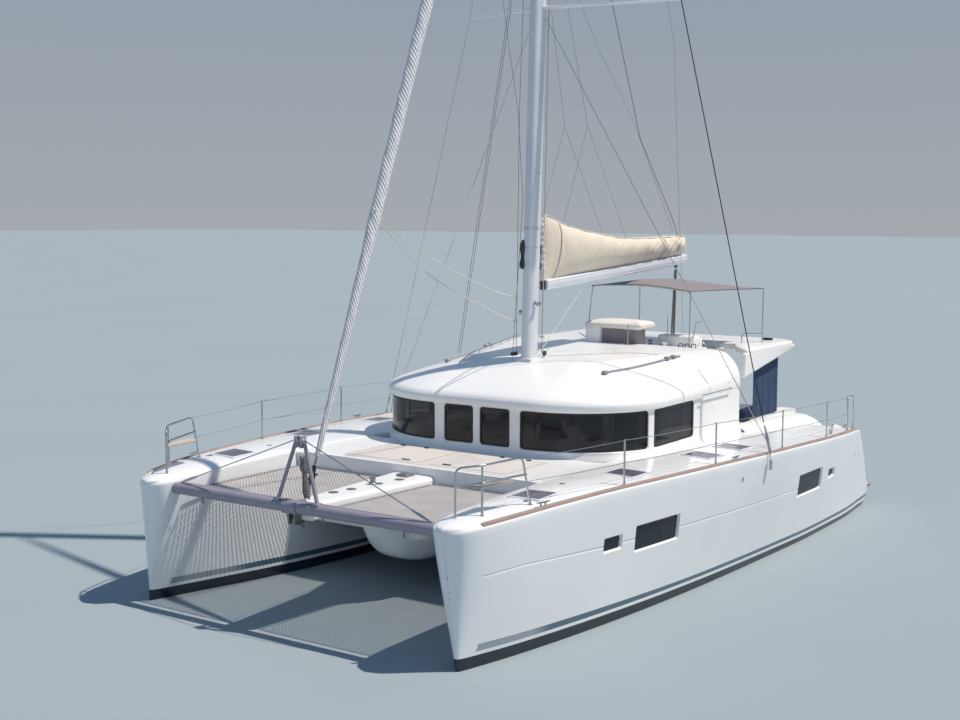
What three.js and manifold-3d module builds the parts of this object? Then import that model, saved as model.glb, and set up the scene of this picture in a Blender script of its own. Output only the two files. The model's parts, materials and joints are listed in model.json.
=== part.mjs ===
// Cruising sailing catamaran, 12.6 m long, afloat with its furled sails. Millimetres.
// +X is port, -Y is the bow, +Z is up; the origin is on the centreline at the waterline, amidships.
import * as THREE from 'three';
import { mergeVertices } from 'three/addons/utils/BufferGeometryUtils.js';
import Module from 'manifold-3d';

const wasm = await Module();
wasm.setup();

// Driving sizes
const GAP = 0.3;
const FLOOR_Z = 1000;
const TUNNEL_Z = 760;
const NET_Z = 1560;
const WALL = 60;
const HOUSE = { halfWidth: 2400, front: -2120, aft: 2420, frontRadius: 1500, aftRadius: 350 };
const HOUSE_TOP_Z = 2485;
const WINDOW_Z = [1885, 2460];
const ROOF_TOP_Z = 3090;
const BEAM = { y: -6140, z: 1612, halfLength: 2400, radius: 80 };
const MAST = { y: -620, foot: ROOF_TOP_Z + GAP, head: 19600, depth: 340, width: 220, rake: 0.034 };
const HOUNDS_Z = 16200;
const BOOM = { pivotY: -250, length: 5200, z: 4140, rise: 0.06, width: 170, height: 175 };
const CHAINPLATE = { x: 3760, y: 380, z: 1600 };
const SPREADER = { x: 2000, y: 560, z: 8700, rootZ: 8600 };
const TACK = { y: -5930, z: 1790 };
const RAIL_HEIGHT = 610;
const HULL_X = 2620;
const RUDDER = { y: 4900, stock: 30, top: -290, bottom: -1150 };
const PROP = { y: 4060, z: -620, radius: 225 };

// Shapes

function toSolid(geometry) {
  const bare = geometry.clone();
  bare.deleteAttribute('normal');
  bare.deleteAttribute('uv');
  const merged = mergeVertices(bare, 1e-3);
  return new wasm.Manifold(new wasm.Mesh({
    numProp: 3,
    vertProperties: new Float32Array(merged.attributes.position.array),
    triVerts: new Uint32Array(merged.index.array),
  }));
}

function toGeometry(solid) {
  const mesh = solid.getMesh();
  const geometry = new THREE.BufferGeometry();
  geometry.setAttribute('position', new THREE.BufferAttribute(new Float32Array(mesh.vertProperties), 3));
  geometry.setIndex(new THREE.BufferAttribute(new Uint32Array(mesh.triVerts), 1));
  return geometry;
}

function join(...geometries) {
  return toGeometry(geometries.map(toSolid).reduce((whole, next) => whole.add(next)));
}

function cut(geometry, ...tools) {
  return toGeometry(tools.map(toSolid).reduce((whole, tool) => whole.subtract(tool), toSolid(geometry)));
}

function common(a, b) {
  return toGeometry(toSolid(a).intersect(toSolid(b)));
}

function box(x0, x1, y0, y1, z0, z1) {
  const geometry = new THREE.BoxGeometry(x1 - x0, y1 - y0, z1 - z0);
  return geometry.translate((x0 + x1) / 2, (y0 + y1) / 2, (z0 + z1) / 2);
}

// A closed skin over rings of equal point count, closed at both ends by a fan to the ring's middle.
function loft(rings) {
  const count = rings[0].length;
  const points = rings.flat(2);
  const index = [];
  for (let r = 0; r + 1 < rings.length; r += 1) {
    for (let i = 0; i < count; i += 1) {
      const a = r * count + i;
      const b = r * count + (i + 1) % count;
      index.push(a, b, b + count, a, b + count, a + count);
    }
  }
  for (const [row, flip] of [[0, true], [rings.length - 1, false]]) {
    const ring = rings[row];
    const middle = [0, 1, 2].map((k) => ring.reduce((sum, p) => sum + p[k], 0) / count);
    const hub = points.length / 3;
    points.push(...middle);
    for (let i = 0; i < count; i += 1) {
      const a = row * count + i;
      const b = row * count + (i + 1) % count;
      index.push(...(flip ? [hub, b, a] : [hub, a, b]));
    }
  }
  const geometry = new THREE.BufferGeometry();
  geometry.setAttribute('position', new THREE.Float32BufferAttribute(points, 3));
  geometry.setIndex(index);
  return volume(geometry) < 0 ? turnedOver(geometry) : geometry;
}

// The volume a closed skin holds, negative where its faces point inwards.
function volume(geometry) {
  const place = geometry.attributes.position;
  const corner = (i) => new THREE.Vector3().fromBufferAttribute(place, geometry.index.getX(i));
  let total = 0;
  for (let i = 0; i < geometry.index.count; i += 3) {
    total += corner(i).dot(corner(i + 1).cross(corner(i + 2))) / 6;
  }
  return total;
}

// The same skin with each face pointing the other way.
function turnedOver(geometry) {
  const points = geometry.attributes.position.count;
  const index = geometry.index ? [...geometry.index.array] : [...Array(points).keys()];
  for (let i = 0; i < index.length; i += 3) {
    [index[i + 1], index[i + 2]] = [index[i + 2], index[i + 1]];
  }
  return geometry.setIndex(index);
}

// The same piece on the other side of the centreline.
function mirrored(geometry) {
  return turnedOver(geometry.clone().applyMatrix4(new THREE.Matrix4().makeScale(-1, 1, 1)));
}

// A round bar between two points.
function rod(from, to, radius, sides = 8, endRadius = radius) {
  const a = new THREE.Vector3(...from);
  const b = new THREE.Vector3(...to);
  const geometry = new THREE.CylinderGeometry(endRadius, radius, a.distanceTo(b), sides);
  const along = b.clone().sub(a).normalize();
  const turn = new THREE.Quaternion().setFromUnitVectors(new THREE.Vector3(0, 1, 0), along);
  return geometry.applyQuaternion(turn).translate(...a.add(b).multiplyScalar(0.5).toArray());
}

// A round bar bent through a row of points, with mitred corners.
function bars(points, radius, sides = 8) {
  const path = points.map((point) => new THREE.Vector3(...point));
  const legs = path.slice(1).map((point, i) => point.clone().sub(path[i]).normalize());
  const first = legs[0];
  const helper = Math.abs(first.z) < 0.9 ? new THREE.Vector3(0, 0, 1) : new THREE.Vector3(0, 1, 0);
  let across = helper.cross(first).normalize();
  const rings = path.map((point, i) => {
    const before = legs[Math.max(i - 1, 0)];
    const after = legs[Math.min(i, legs.length - 1)];
    const bisector = before.clone().add(after).normalize();
    across = across.clone().sub(before.clone().multiplyScalar(across.dot(before))).normalize();
    const up = before.clone().cross(across);
    const spread = Array.from({ length: sides }, (_, k) => {
      const angle = 2 * Math.PI * k / sides;
      const offset = across.clone().multiplyScalar(radius * Math.cos(angle));
      offset.addScaledVector(up, radius * Math.sin(angle));
      const slide = -offset.dot(bisector) / before.dot(bisector);
      return offset.addScaledVector(before, slide).add(point).toArray();
    });
    const turn = new THREE.Quaternion().setFromUnitVectors(before, after);
    across.applyQuaternion(turn);
    return spread;
  });
  return loft(rings);
}

// A flat outline in X and Y, given a thickness in Z.
function plate(outline, z0, z1) {
  const shape = new THREE.Shape(outline.map(([x, y]) => new THREE.Vector2(x, y)));
  return new THREE.ExtrudeGeometry(shape, { depth: z1 - z0, bevelEnabled: false }).translate(0, 0, z0);
}

// A flat outline in Y and Z, given a thickness in X.
function sidePlate(outline, x0, x1) {
  const shape = new THREE.Shape(outline.map(([y, z]) => new THREE.Vector2(y, z)));
  const geometry = new THREE.ExtrudeGeometry(shape, { depth: x1 - x0, bevelEnabled: false });
  const axes = new THREE.Matrix4().makeBasis(
    new THREE.Vector3(0, 1, 0), new THREE.Vector3(0, 0, 1), new THREE.Vector3(1, 0, 0));
  return geometry.applyMatrix4(axes).translate(x0, 0, 0);
}

// How much the roof's nose sets the outline at y: all of it forward, none of it from 2600 aft.
function noseShare(y) {
  return 1 - THREE.MathUtils.smoothstep(y, -1600, 2600);
}

// The deckhouse plan grown outwards by `grow`, by `aftGrow` at its aft end and by `noseGrow` at
// its front, as points anticlockwise from the aft port corner.
function houseOutline(grow, aftGrow = grow, noseGrow = grow, steps = 8) {
  const corners = [
    // side, lengthways sign of the corner, radius, start angle
    [1, 1, HOUSE.aftRadius, 0],
    [-1, 1, HOUSE.aftRadius, 90],
    [-1, -1, HOUSE.frontRadius, 180],
    [1, -1, HOUSE.frontRadius, 270],
  ];
  const points = [];
  for (const [side, end, radius, start] of corners) {
    for (let i = 0; i <= steps; i += 1) {
      const angle = THREE.MathUtils.degToRad(start + 90 * i / steps);
      const y = end > 0 ? HOUSE.aft : HOUSE.front + radius * (1 + Math.sin(angle));
      const sideGrow = grow + (noseGrow - grow) * noseShare(y);
      const endGrow = end > 0 ? aftGrow : sideGrow;
      const rx = Math.max(radius + sideGrow, 20);
      const ry = Math.max(radius + endGrow, 20);
      const cx = side * (HOUSE.halfWidth + sideGrow - rx);
      const cy = end > 0 ? HOUSE.aft + endGrow - ry : HOUSE.front - endGrow + ry;
      points.push([cx + rx * Math.cos(angle), cy + ry * Math.sin(angle)]);
    }
  }
  return points;
}

// Materials

function finish(color, roughness, metalness = 0) {
  return new THREE.MeshStandardMaterial({ color, roughness, metalness });
}

const gelcoat = finish(0xeef1f2, 0.3);
const nonskid = finish(0xd9d6cc, 0.8);
const smokedGlass = finish(0x1c2226, 0.1);
const greyAlloy = finish(0xa9b0b5, 0.4, 0.9);
const darkAlloy = finish(0x5d6470, 0.5, 0.8);
const stainless = finish(0xc9cdd0, 0.25, 1);
const netting = finish(0xb5b1a6, 0.9);
const beigeCanvas = finish(0xc9bda6, 0.9);
const taupeCanvas = finish(0x9c938c, 0.9);
const whiteSailcloth = finish(0xe9e6df, 0.8);
const navyCanvas = finish(0x232a44, 0.9);
const antifouling = finish(0x1d2026, 0.8);
const bronze = finish(0x9a7a4a, 0.4, 1);
const teak = finish(0x9c7a58, 0.7);
const vinyl = finish(0xe6e4df, 0.6);
const upholstery = finish(0xb7aa96, 0.9);

const boat = new THREE.Group();

function add(name, geometry, material) {
  const mesh = new THREE.Mesh(geometry, material);
  mesh.name = name;
  boat.add(mesh);
}

function addPair(name, geometry, material) {
  add(`${name}_port`, geometry, material);
  add(`${name}_starboard`, mirrored(geometry), material);
}

// Hulls. Each row is one section of the port hull, from the bow aft.
// deckOut, deckIn, sheer: the deck edges and their height; chineOut, chineIn, chine: where the round
// bottom starts; keel: the lowest point; lean: how far the top stands ahead of the waterline.
const HULL_SECTIONS = [
  // y, deckOut, deckIn, sheer, chineOut, chineIn, chine, keel, lean
  [-6300, 2570, 2430, 1675, 2640, 2600, 0, -120, 120],
  [-6255, 2690, 2320, 1700, 2655, 2585, 0, -220, 115],
  [-6150, 2790, 2240, 1725, 2685, 2555, 0, -340, 110],
  [-5950, 2890, 2190, 1750, 2735, 2500, 0, -420, 90],
  [-5500, 3010, 2175, 1780, 2840, 2380, 0, -490, 60],
  [-4700, 3140, 2175, 1805, 2990, 2170, 0, -540, 30],
  [-3700, 3280, 2190, 1815, 3140, 1970, 0, -580, 0],
  [-2400, 3450, 2150, 1805, 3290, 1830, 0, -600, 0],
  [-800, 3620, 2100, 1780, 3415, 1805, 0, -610, 0],
  [1000, 3735, 2080, 1725, 3510, 1800, 0, -600, 0],
  [2600, 3750, 2080, 1660, 3570, 1800, 0, -540, 0],
  [4100, 3670, 2080, 1580, 3560, 1820, 0, -380, 0],
  [5150, 3540, 2080, 1505, 3490, 1850, 0, -170, 0],
  [5560, 3490, 2080, 960, 3460, 1865, 20, -60, 0],
  [5900, 3450, 2080, 400, 3425, 1885, 90, 10, 0],
  [6300, 3400, 2080, 300, 3340, 1960, 230, 190, 0],
];

// The ring of one section, grown outwards by `grow` all round.
function hullRing(row, grow = 0) {
  const [y, , , , , , , , lean] = row;
  const [, deckOut, deckIn, sheer, chineOut, chineIn, chine, keel] = row.map((value, column) => (
    value + grow * [0, 1, -1, 1, 1, -1, 0, -1, 0][column]));
  const ring = [];
  const place = (x, z) => ring.push([x, y - lean * Math.max(z, keel) / 1700, z]);
  const sideSteps = 4;
  const bottomSteps = 8;
  const deckSteps = 4;
  for (let i = 0; i < sideSteps; i += 1) {
    const t = i / sideSteps;
    place(deckIn + (chineIn - deckIn) * t ** 1.3, sheer + (chine - sheer) * t);
  }
  for (let i = 0; i <= bottomSteps; i += 1) {
    const angle = Math.PI * i / bottomSteps;
    const middle = (chineOut + chineIn) / 2;
    place(middle - (chineOut - chineIn) / 2 * Math.cos(angle), chine + (keel - chine) * Math.sin(angle));
  }
  for (let i = 1; i <= sideSteps; i += 1) {
    const t = 1 - i / sideSteps;
    place(deckOut + (chineOut - deckOut) * t ** 1.3, sheer + (chine - sheer) * t);
  }
  for (let i = 1; i < deckSteps; i += 1) {
    const t = i / deckSteps;
    place(deckOut + (deckIn - deckOut) * t, sheer + 40 * Math.sin(Math.PI * t) * Math.min(1, sheer / 1500));
  }
  return ring;
}

// Steps down to the swim platform: each row is a tread's height and where it starts.
const STERN_STEPS = [
  // tread, from y
  [1230, 4560],
  [930, 4900],
  [640, 5240],
  [330, 5580],
];

const HATCHES = [
  // name, x, y
  ['fore', 2620, -4650],
  ['second', 2900, -2700],
  ['third', 3080, -650],
  ['aft', 3080, 480],
];
const HATCH = { size: 500, thickness: 40, recess: 30 };

// The height of the side decks' crown, sections standing at the place their lean gives them there.
function deckHeight(y) {
  const places = HULL_SECTIONS.map((row) => row[0] - row[8]);
  const after = places.findIndex((place) => place > y);
  const t = (y - places[after - 1]) / (places[after] - places[after - 1]);
  return HULL_SECTIONS[after - 1][3] * (1 - t) + HULL_SECTIONS[after][3] * t + 40;
}

function hull() {
  const stepCuts = STERN_STEPS.map(([tread, from]) => box(2020, 3230, from, 6500, tread, 2200));
  const stockBore = rod([HULL_X, RUDDER.y, -700], [HULL_X, RUDDER.y, 60], RUDDER.stock + 6, 16);
  const hatchCuts = HATCHES.map(([, x, y]) => {
    const half = HATCH.size / 2 + 6;
    return box(x - half, x + half, y - half, y + half, deckHeight(y) - HATCH.recess, 2200);
  });
  return cut(loft(HULL_SECTIONS.map((row) => hullRing(row))), ...stepCuts, stockBore, ...hatchCuts);
}

addPair('hull', hull(), gelcoat);

// The space the hull takes, with the gap that what stands on it keeps.
const hullSpace = loft(HULL_SECTIONS.map((row) => hullRing(row, GAP)));

for (const [place, x, y] of HATCHES) {
  const half = HATCH.size / 2;
  const floor = deckHeight(y) - HATCH.recess + GAP;
  const pane = box(x - half, x + half, y - half, y + half, floor, floor + HATCH.thickness);
  addPair(`deck_hatch_${place}`, pane, smokedGlass);
}

// Underwater gear

const KEEL = [
  // z, nose y, tail y, half thickness
  [-450, -1300, 1400, 155],
  [-700, -1250, 1350, 150],
  [-1250, -950, 1050, 110],
];

function foilRing(x, z, nose, tail, half) {
  const shape = [[0, 0], [0.08, 0.7], [0.3, 1], [0.65, 0.6], [1, 0.04]];
  const outline = [...shape, ...shape.slice(1).reverse().map(([t, w]) => [t, -w])];
  return outline.map(([t, w]) => [x + w * half, nose + (tail - nose) * t, z]);
}

function keel() {
  const fin = KEEL.map(([z, nose, tail, half]) => foilRing(HULL_X, z, nose, tail, half));
  return cut(loft(fin), hullSpace);
}

addPair('keel', keel(), antifouling);

function rudder() {
  const { y, stock, top, bottom } = RUDDER;
  const blade = loft([
    foilRing(HULL_X, bottom, y - 80, y + 330, 26),
    foilRing(HULL_X, top - 150, y - 110, y + 380, 38),
  ]);
  return join(blade, rod([HULL_X, y, top - 260], [HULL_X, y, 20], stock, 12));
}

addPair('rudder', rudder(), antifouling);

function saildrive() {
  const { y, z } = PROP;
  const leg = loft([
    foilRing(HULL_X, z, y - 330, y - 90, 50),
    foilRing(HULL_X, -250, y - 380, y - 60, 65),
  ]);
  const gearcase = rod([HULL_X, y - 380, z], [HULL_X, y - 20, z], 75, 12, 62);
  return cut(join(leg, gearcase), hullSpace);
}

addPair('saildrive', saildrive(), greyAlloy);

function propeller() {
  const { y, z, radius } = PROP;
  const hub = rod([0, -10, 0], [0, 110, 0], 55, 12, 28);
  const blade = () => {
    const rows = [
      // distance from the shaft, half chord, half thickness, pitch in degrees
      [35, 34, 9, 52],
      [90, 62, 8, 44],
      [150, 72, 6, 37],
      [radius, 34, 4, 31],
    ];
    const rings = rows.map(([r, chord, thick, degrees]) => {
      const pitch = THREE.MathUtils.degToRad(degrees);
      const along = [Math.cos(pitch), Math.sin(pitch)];
      return [[-chord, 0], [0, thick], [chord, 0], [0, -thick]].map(([c, t]) => [
        c * along[0] - t * along[1], 40 + c * along[1] + t * along[0], r]);
    });
    return loft(rings);
  };
  const blades = [0, 120, 240].map((angle) => blade().rotateY(THREE.MathUtils.degToRad(angle)));
  return join(hub, ...blades).translate(HULL_X, y, z);
}

addPair('propeller', propeller(), bronze);

// Bridgedeck: foredeck, saloon and cockpit floor, nacelle, coamings and the raised helm floor

const LOCKER = { x: [110, 1440], y: [-3480, -2420], thickness: 40, recess: 25 };
const FOREDECK_Z = 1780;
const FOREDECK_FRONT = -3700;
const TRANSOM_Y = 5300;

function nacelle() {
  const rows = [
    // y, half width, bottom
    [-4680, 110, 1180],
    [-4560, 260, 900],
    [-4250, 440, 600],
    [-3600, 580, 430],
    [-2400, 600, 400],
    [-1200, 480, 560],
    [-300, 200, 780],
  ];
  return loft(rows.map(([y, half, bottom]) => {
    const top = y < FOREDECK_FRONT ? 1420 : 1000;
    const ring = [[-half, y, top]];
    for (let i = 0; i <= 8; i += 1) {
      const angle = Math.PI * i / 8;
      const sideZ = Math.min(top - 60, bottom + half);
      ring.push([-half * Math.cos(angle), y, sideZ - (sideZ - bottom) * Math.sin(angle)]);
    }
    ring.push([half, y, top]);
    return ring;
  }));
}

function bridgedeck() {
  const inner = 1950;
  const slab = box(-inner, inner, -2400, TRANSOM_Y, TUNNEL_Z, FLOOR_Z);
  const foredeck = box(-2300, 2300, FOREDECK_FRONT, -2180, TUNNEL_Z, FOREDECK_Z);
  const transom = box(-2100, 2100, 5060, TRANSOM_Y, TUNNEL_Z, 1640);
  const coaming = box(1930, 2230, 2500, TRANSOM_Y, FLOOR_Z - 50, 1760);
  const plinth = box(480, 1960, 2520, 3980, FLOOR_Z - 10, 1950);
  const helmStep = box(480, 1200, 3970, 4250, FLOOR_Z - 10, 1620);
  const lowStep = box(480, 1200, 4240, 4520, FLOOR_Z - 10, 1310);
  const helm = join(plinth, helmStep, lowStep);
  const body = join(slab, foredeck, transom, coaming, mirrored(coaming), helm, nacelle());
  const { x, y } = LOCKER;
  const lid = box(x[0] - 6, x[1] + 6, y[0] - 6, y[1] + 6, FOREDECK_Z - LOCKER.recess, 2000);
  return cut(body, hullSpace, mirrored(hullSpace), lid, mirrored(lid));
}

add('bridgedeck', bridgedeck(), gelcoat);
const lidZ = FOREDECK_Z - LOCKER.recess + GAP;
addPair('foredeck_locker', box(...LOCKER.x, ...LOCKER.y, lidZ, lidZ + LOCKER.thickness), nonskid);

// Forward beam, its striker frame, the walkway and the nets

const beam = rod([-BEAM.halfLength, BEAM.y, BEAM.z], [BEAM.halfLength, BEAM.y, BEAM.z], BEAM.radius, 16);
add('crossbeam', cut(beam, hullSpace, mirrored(hullSpace)), darkAlloy);

const STRIKER_TOP = [0, -6080, 2500];
const strikerFoot = (x) => [x, BEAM.y, BEAM.z + BEAM.radius + 14];
const striker = join(
  rod(strikerFoot(-330), STRIKER_TOP, 22),
  rod(strikerFoot(330), STRIKER_TOP, 22),
  rod([0, -6150, 2500], [0, -6000, 2500], 55, 12),
  box(-350, 350, BEAM.y - 30, BEAM.y + 30, BEAM.z + BEAM.radius + 1, BEAM.z + BEAM.radius + 20),
);
add('striker', striker, darkAlloy);

const longeron = loft([
  [-6030, 190], [FOREDECK_FRONT - 6, 380],
].map(([y, half]) => [[-half, y, 1440], [half, y, 1440], [half * 0.92, y, 1660], [-half * 0.92, y, 1660]]));
add('longeron', longeron, gelcoat);

const net = plate([
  [230, -6020], [2170, -6020], [2150, -3720], [410, -3720],
].map(([x, y]) => [x, y]), NET_Z, NET_Z + 12);
addPair('trampoline', cut(net, hullSpace), netting);

// Deckhouse

function ringWall(outerGrow, innerGrow, z0, z1) {
  return cut(plate(houseOutline(outerGrow), z0, z1), plate(houseOutline(innerGrow), z0 - 10, z1 + 10));
}

const WINDOWS = [
  // name, x from, x to, y from, y to
  ['window_front', 65, 600, -2700, -1900],
  ['window_corner', 790, 2700, -2700, -987],
  ['window_side', 2200, 2700, -842, 480],
];

function deckhouseWalls() {
  const aftEnd = box(-2700, 2700, HOUSE.aft - 130, 2700, 0, 3000);
  const walls = cut(ringWall(0, -WALL, 1700, HOUSE_TOP_Z), aftEnd);
  const openings = WINDOWS.map(([, x0, x1, y0, y1]) => box(x0, x1, y0, y1, ...WINDOW_Z));
  return cut(walls, ...openings, ...openings.map(mirrored), hullSpace, mirrored(hullSpace));
}

add('deckhouse_walls', deckhouseWalls(), gelcoat);

for (const [name, x0, x1, y0, y1] of WINDOWS) {
  const opening = box(x0 + GAP, x1 - GAP, y0 + GAP, y1 - GAP, WINDOW_Z[0] + GAP, WINDOW_Z[1] - GAP);
  addPair(name, common(ringWall(-16, -28, 1800, 2500), opening), smokedGlass);
}

const DOOR = { x: [-1060, -60], z: [1040, 2400], travel: 900 };

function aftBulkhead() {
  const y0 = HOUSE.aft - 130 + GAP;
  const y1 = y0 + WALL;
  const panel = box(-2250, 2250, y0, y1, FLOOR_Z + GAP, HOUSE_TOP_Z);
  const doorway = box(DOOR.x[0] + 50, DOOR.x[1] - 50, y0 - 10, y1 + 10, FLOOR_Z + 60, DOOR.z[1] - 50);
  return cut(panel, doorway, hullSpace, mirrored(hullSpace));
}

add('aft_bulkhead', aftBulkhead(), gelcoat);
const doorY = HOUSE.aft - 130 + WALL + 8;
add('saloon_door', box(...DOOR.x, doorY, doorY + 30, ...DOOR.z), smokedGlass);

function coachroof() {
  const rows = [
    // grow at the sides, aft, at the nose, z: up the ceiling's inside, out under the brim, over the top
    [-1300, -1300, -1400, 2960],
    [-420, -420, -1250, 2900],
    [-130, -130, -250, 2620],
    [-90, -90, -90, HOUSE_TOP_Z + GAP],
    [40, 70, 40, HOUSE_TOP_Z + GAP],
    [50, 70, 50, 2560],
    [50, 70, 0, 2620],
    [40, 65, -150, 2700],
    [10, 55, -400, 2780],
    [-50, 30, -700, 2870],
    [-130, -20, -1000, 2950],
    [-250, -120, -1200, 3020],
    [-600, -300, -1290, ROOF_TOP_Z],
  ];
  return loft(rows.map(([grow, aftGrow, noseGrow, z]) => (
    houseOutline(grow, aftGrow, noseGrow).map(([x, y]) => [x, y, z])
  )));
}

add('coachroof', coachroof(), gelcoat);

// Saloon furniture seen through the windows
add('saloon_settee', join(
  box(-1850, -1250, -1700, 500, FLOOR_Z + GAP, 1450),
  box(-1850, 700, -1900, -1300, FLOOR_Z + GAP, 1450),
), upholstery);
add('saloon_table', join(
  box(-1000, 200, -1050, -250, 1700, 1740),
  rod([-400, -650, FLOOR_Z + GAP], [-400, -650, 1710], 50, 12),
), teak);

// Rig

const mastY = (z) => MAST.y + (z - MAST.foot) * MAST.rake;

function mast() {
  const ring = (z, scale) => Array.from({ length: 20 }, (_, i) => {
    const angle = 2 * Math.PI * i / 20;
    const [across, along] = [MAST.width / 2 * scale, MAST.depth / 2 * scale];
    return [across * Math.cos(angle), mastY(z) + along * Math.sin(angle), z];
  });
  const tube = loft([ring(MAST.foot, 1), ring(15500, 1), ring(MAST.head, 0.7)]);
  const { rootZ } = SPREADER;
  const spreader = (side) => rod(
    [side * 60, mastY(rootZ), rootZ], [side * (SPREADER.x - 15), SPREADER.y - 8, SPREADER.z], 38, 8, 24);
  const gooseneck = box(-45, 45, mastY(BOOM.z), -330, BOOM.z + 20, BOOM.z + 180);
  return join(tube, spreader(1), spreader(-1), gooseneck);
}

add('mast', mast(), greyAlloy);

const boomZ = (y) => BOOM.z + (y - BOOM.pivotY) * BOOM.rise;

function boom() {
  const section = [[-0.35, 0], [0.35, 0], [0.5, 0.5], [0.35, 1], [-0.35, 1], [-0.5, 0.5]];
  const ring = (y) => section.map(([w, h]) => [w * BOOM.width, y, boomZ(y) + h * BOOM.height]);
  return loft([ring(BOOM.pivotY + 10), ring(BOOM.pivotY + BOOM.length)]);
}

add('boom', boom(), greyAlloy);

function sailBag() {
  const rows = [
    // y, half width, height over the boom's top
    [-205, 90, 1060],
    [150, 190, 930],
    [1000, 230, 735],
    [2500, 210, 500],
    [4000, 170, 415],
    [4850, 110, 375],
  ];
  const left = [[-0.6, 0], [-1, 0.25], [-0.85, 0.7], [-0.25, 1]];
  const shape = [...left, ...left.map(([w, h]) => [-w, h]).reverse()];
  return loft(rows.map(([y, half, height]) => {
    const base = boomZ(y) + BOOM.height + GAP;
    return shape.map(([w, h]) => [w * half, y, base + h * height]);
  }));
}

add('sail_bag', sailBag(), beigeCanvas);

function furledGenoa() {
  const at = (z) => [0, TACK.y + (z - TACK.z) * 0.3945, z];
  const roll = join(
    rod(at(2250), at(9000), 70, 12, 95),
    rod(at(8990), at(15500), 95, 12, 45),
  );
  return join(
    roll,
    rod(at(TACK.z + 20), at(2260), 22),
    rod(at(2010), at(2150), 90, 12),
    rod(at(15400), at(15780), 14),
  );
}

add('furled_genoa', furledGenoa(), whiteSailcloth);

const shroud = bars([
  [CHAINPLATE.x, CHAINPLATE.y, CHAINPLATE.z],
  [SPREADER.x, SPREADER.y, SPREADER.z],
  [150, mastY(HOUNDS_Z) + 60, HOUNDS_Z],
], 7);
addPair('shroud', cut(shroud, hullSpace), stainless);

// Helm, hardtop and cockpit

const HARDTOP_Z = [2940, 3060];

function hardtop() {
  const outline = [
    [-2250, 2545], [1500, 2545], [1500, 2950], [550, 2950], [550, 3950], [1550, 3950], [1750, 3500],
    [2150, 2950], [2250, 2950], [2250, 5050], [1950, 5350], [-1950, 5350], [-2250, 5050],
  ];
  const cheek = sidePlate([[2950, 2620], [5000, 2935], [5000, 2950], [2950, 2950]], 2170, 2250);
  const post = rod([2080, 4560, 1760 + GAP], [2080, 4560, 2960], 25, 12);
  return join(plate(outline, ...HARDTOP_Z), cheek, mirrored(cheek), post, mirrored(post));
}

add('hardtop', hardtop(), gelcoat);
add('side_curtain', box(2120, 2150, 3450, 4600, 1770, 2900), navyCanvas);

add('helm_console', join(
  box(600, 1320, 2700, 3000, HARDTOP_Z[1] + GAP, 3260),
  box(620, 1300, 2955, 3120, 1950 + GAP, 3200),
), gelcoat);

const WHEEL = { x: 1025, y: 3210, z: 2800, radius: 400 };

function helmWheel() {
  const rim = new THREE.TorusGeometry(WHEEL.radius, 16, 8, 32).rotateX(Math.PI / 2);
  const spokes = [0, 60, 120, 180, 240, 300].map((angle) => {
    const a = THREE.MathUtils.degToRad(angle);
    return rod([0, 0, 0], [WHEEL.radius * Math.cos(a), 0, WHEEL.radius * Math.sin(a)], 8, 6);
  });
  const hub = rod([0, -80, 0], [0, 30, 0], 45, 12);
  return join(rim, hub, ...spokes).translate(WHEEL.x, WHEEL.y, WHEEL.z);
}

add('helm_wheel', helmWheel(), stainless);
add('helm_seat', join(
  box(650, 1400, 3560, 3930, 2420, 2540),
  box(650, 1400, 3850, 3930, 2500, 3000),
  box(700, 1350, 3620, 3900, 1950 + GAP, 2430),
), vinyl);
add('sun_pad', box(-420, 760, 1800, 2420, ROOF_TOP_Z + GAP, 3550), vinyl);
add('cockpit_table', join(
  box(-1500, -500, 3500, 4300, 1690, 1730),
  rod([-1000, 3900, FLOOR_Z + GAP], [-1000, 3900, 1700], 50, 12),
), teak);
add('cockpit_bench', join(
  box(-1920, -700, 4560, 5050, FLOOR_Z + GAP, 1450),
  box(-1920, 1900, 4700, 5050, FLOOR_Z + GAP, 1450),
), vinyl);

// Canopy over the helm
const CANOPY = { z: 4050, crown: 115, thickness: 12 };
const CANOPY_CORNERS = [
  // x, y
  [-690, 2600],
  [1280, 2600],
  [1850, 4500],
  [-700, 4500],
];

function biminiFrame() {
  const foot = ([x, y]) => [x, y, HARDTOP_Z[1] + GAP];
  const top = ([x, y], under = 20) => [x, y, CANOPY.z - under];
  const [a, b, c, d] = CANOPY_CORNERS;
  const frontHoop = bars([foot(a), top(a), top(b), foot(b)], 14);
  const aftHoop = bars([foot(d), top(d), top(c), foot(c)], 14);
  return join(frontHoop, aftHoop, rod(top(a, 60), top(d, 60), 11), rod(top(b, 60), top(c, 60), 11));
}

add('bimini_frame', biminiFrame(), stainless);

function biminiCanopy() {
  const [a, b, c, d] = CANOPY_CORNERS;
  const rows = 6;
  const rings = [];
  for (let i = 0; i <= rows; i += 1) {
    const t = i / rows;
    const left = [d[0] + (a[0] - d[0]) * (1 - t), a[1] + (d[1] - a[1]) * t];
    const right = [b[0] + (c[0] - b[0]) * t, b[1] + (c[1] - b[1]) * t];
    const top = [];
    const under = [];
    for (let j = 0; j <= 8; j += 1) {
      const s = j / 8;
      const x = left[0] + (right[0] - left[0]) * s;
      const y = left[1] + (right[1] - left[1]) * s;
      const z = CANOPY.z + 4 + CANOPY.crown * Math.sin(Math.PI * s) * (0.5 + 0.5 * Math.sin(Math.PI * t));
      top.push([x, y, z + CANOPY.thickness]);
      under.push([x, y, z]);
    }
    rings.push([...under, ...top.reverse()]);
  }
  return loft(rings);
}

add('bimini_canopy', biminiCanopy(), taupeCanvas);

// Guard rails: pulpit, stanchions, two wires and pushpit in one welded run

const STANCHIONS = [
  // x, y
  [3240, -3380],
  [3520, -1130],
  [3660, 1050],
  [3670, 3000],
];

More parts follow.
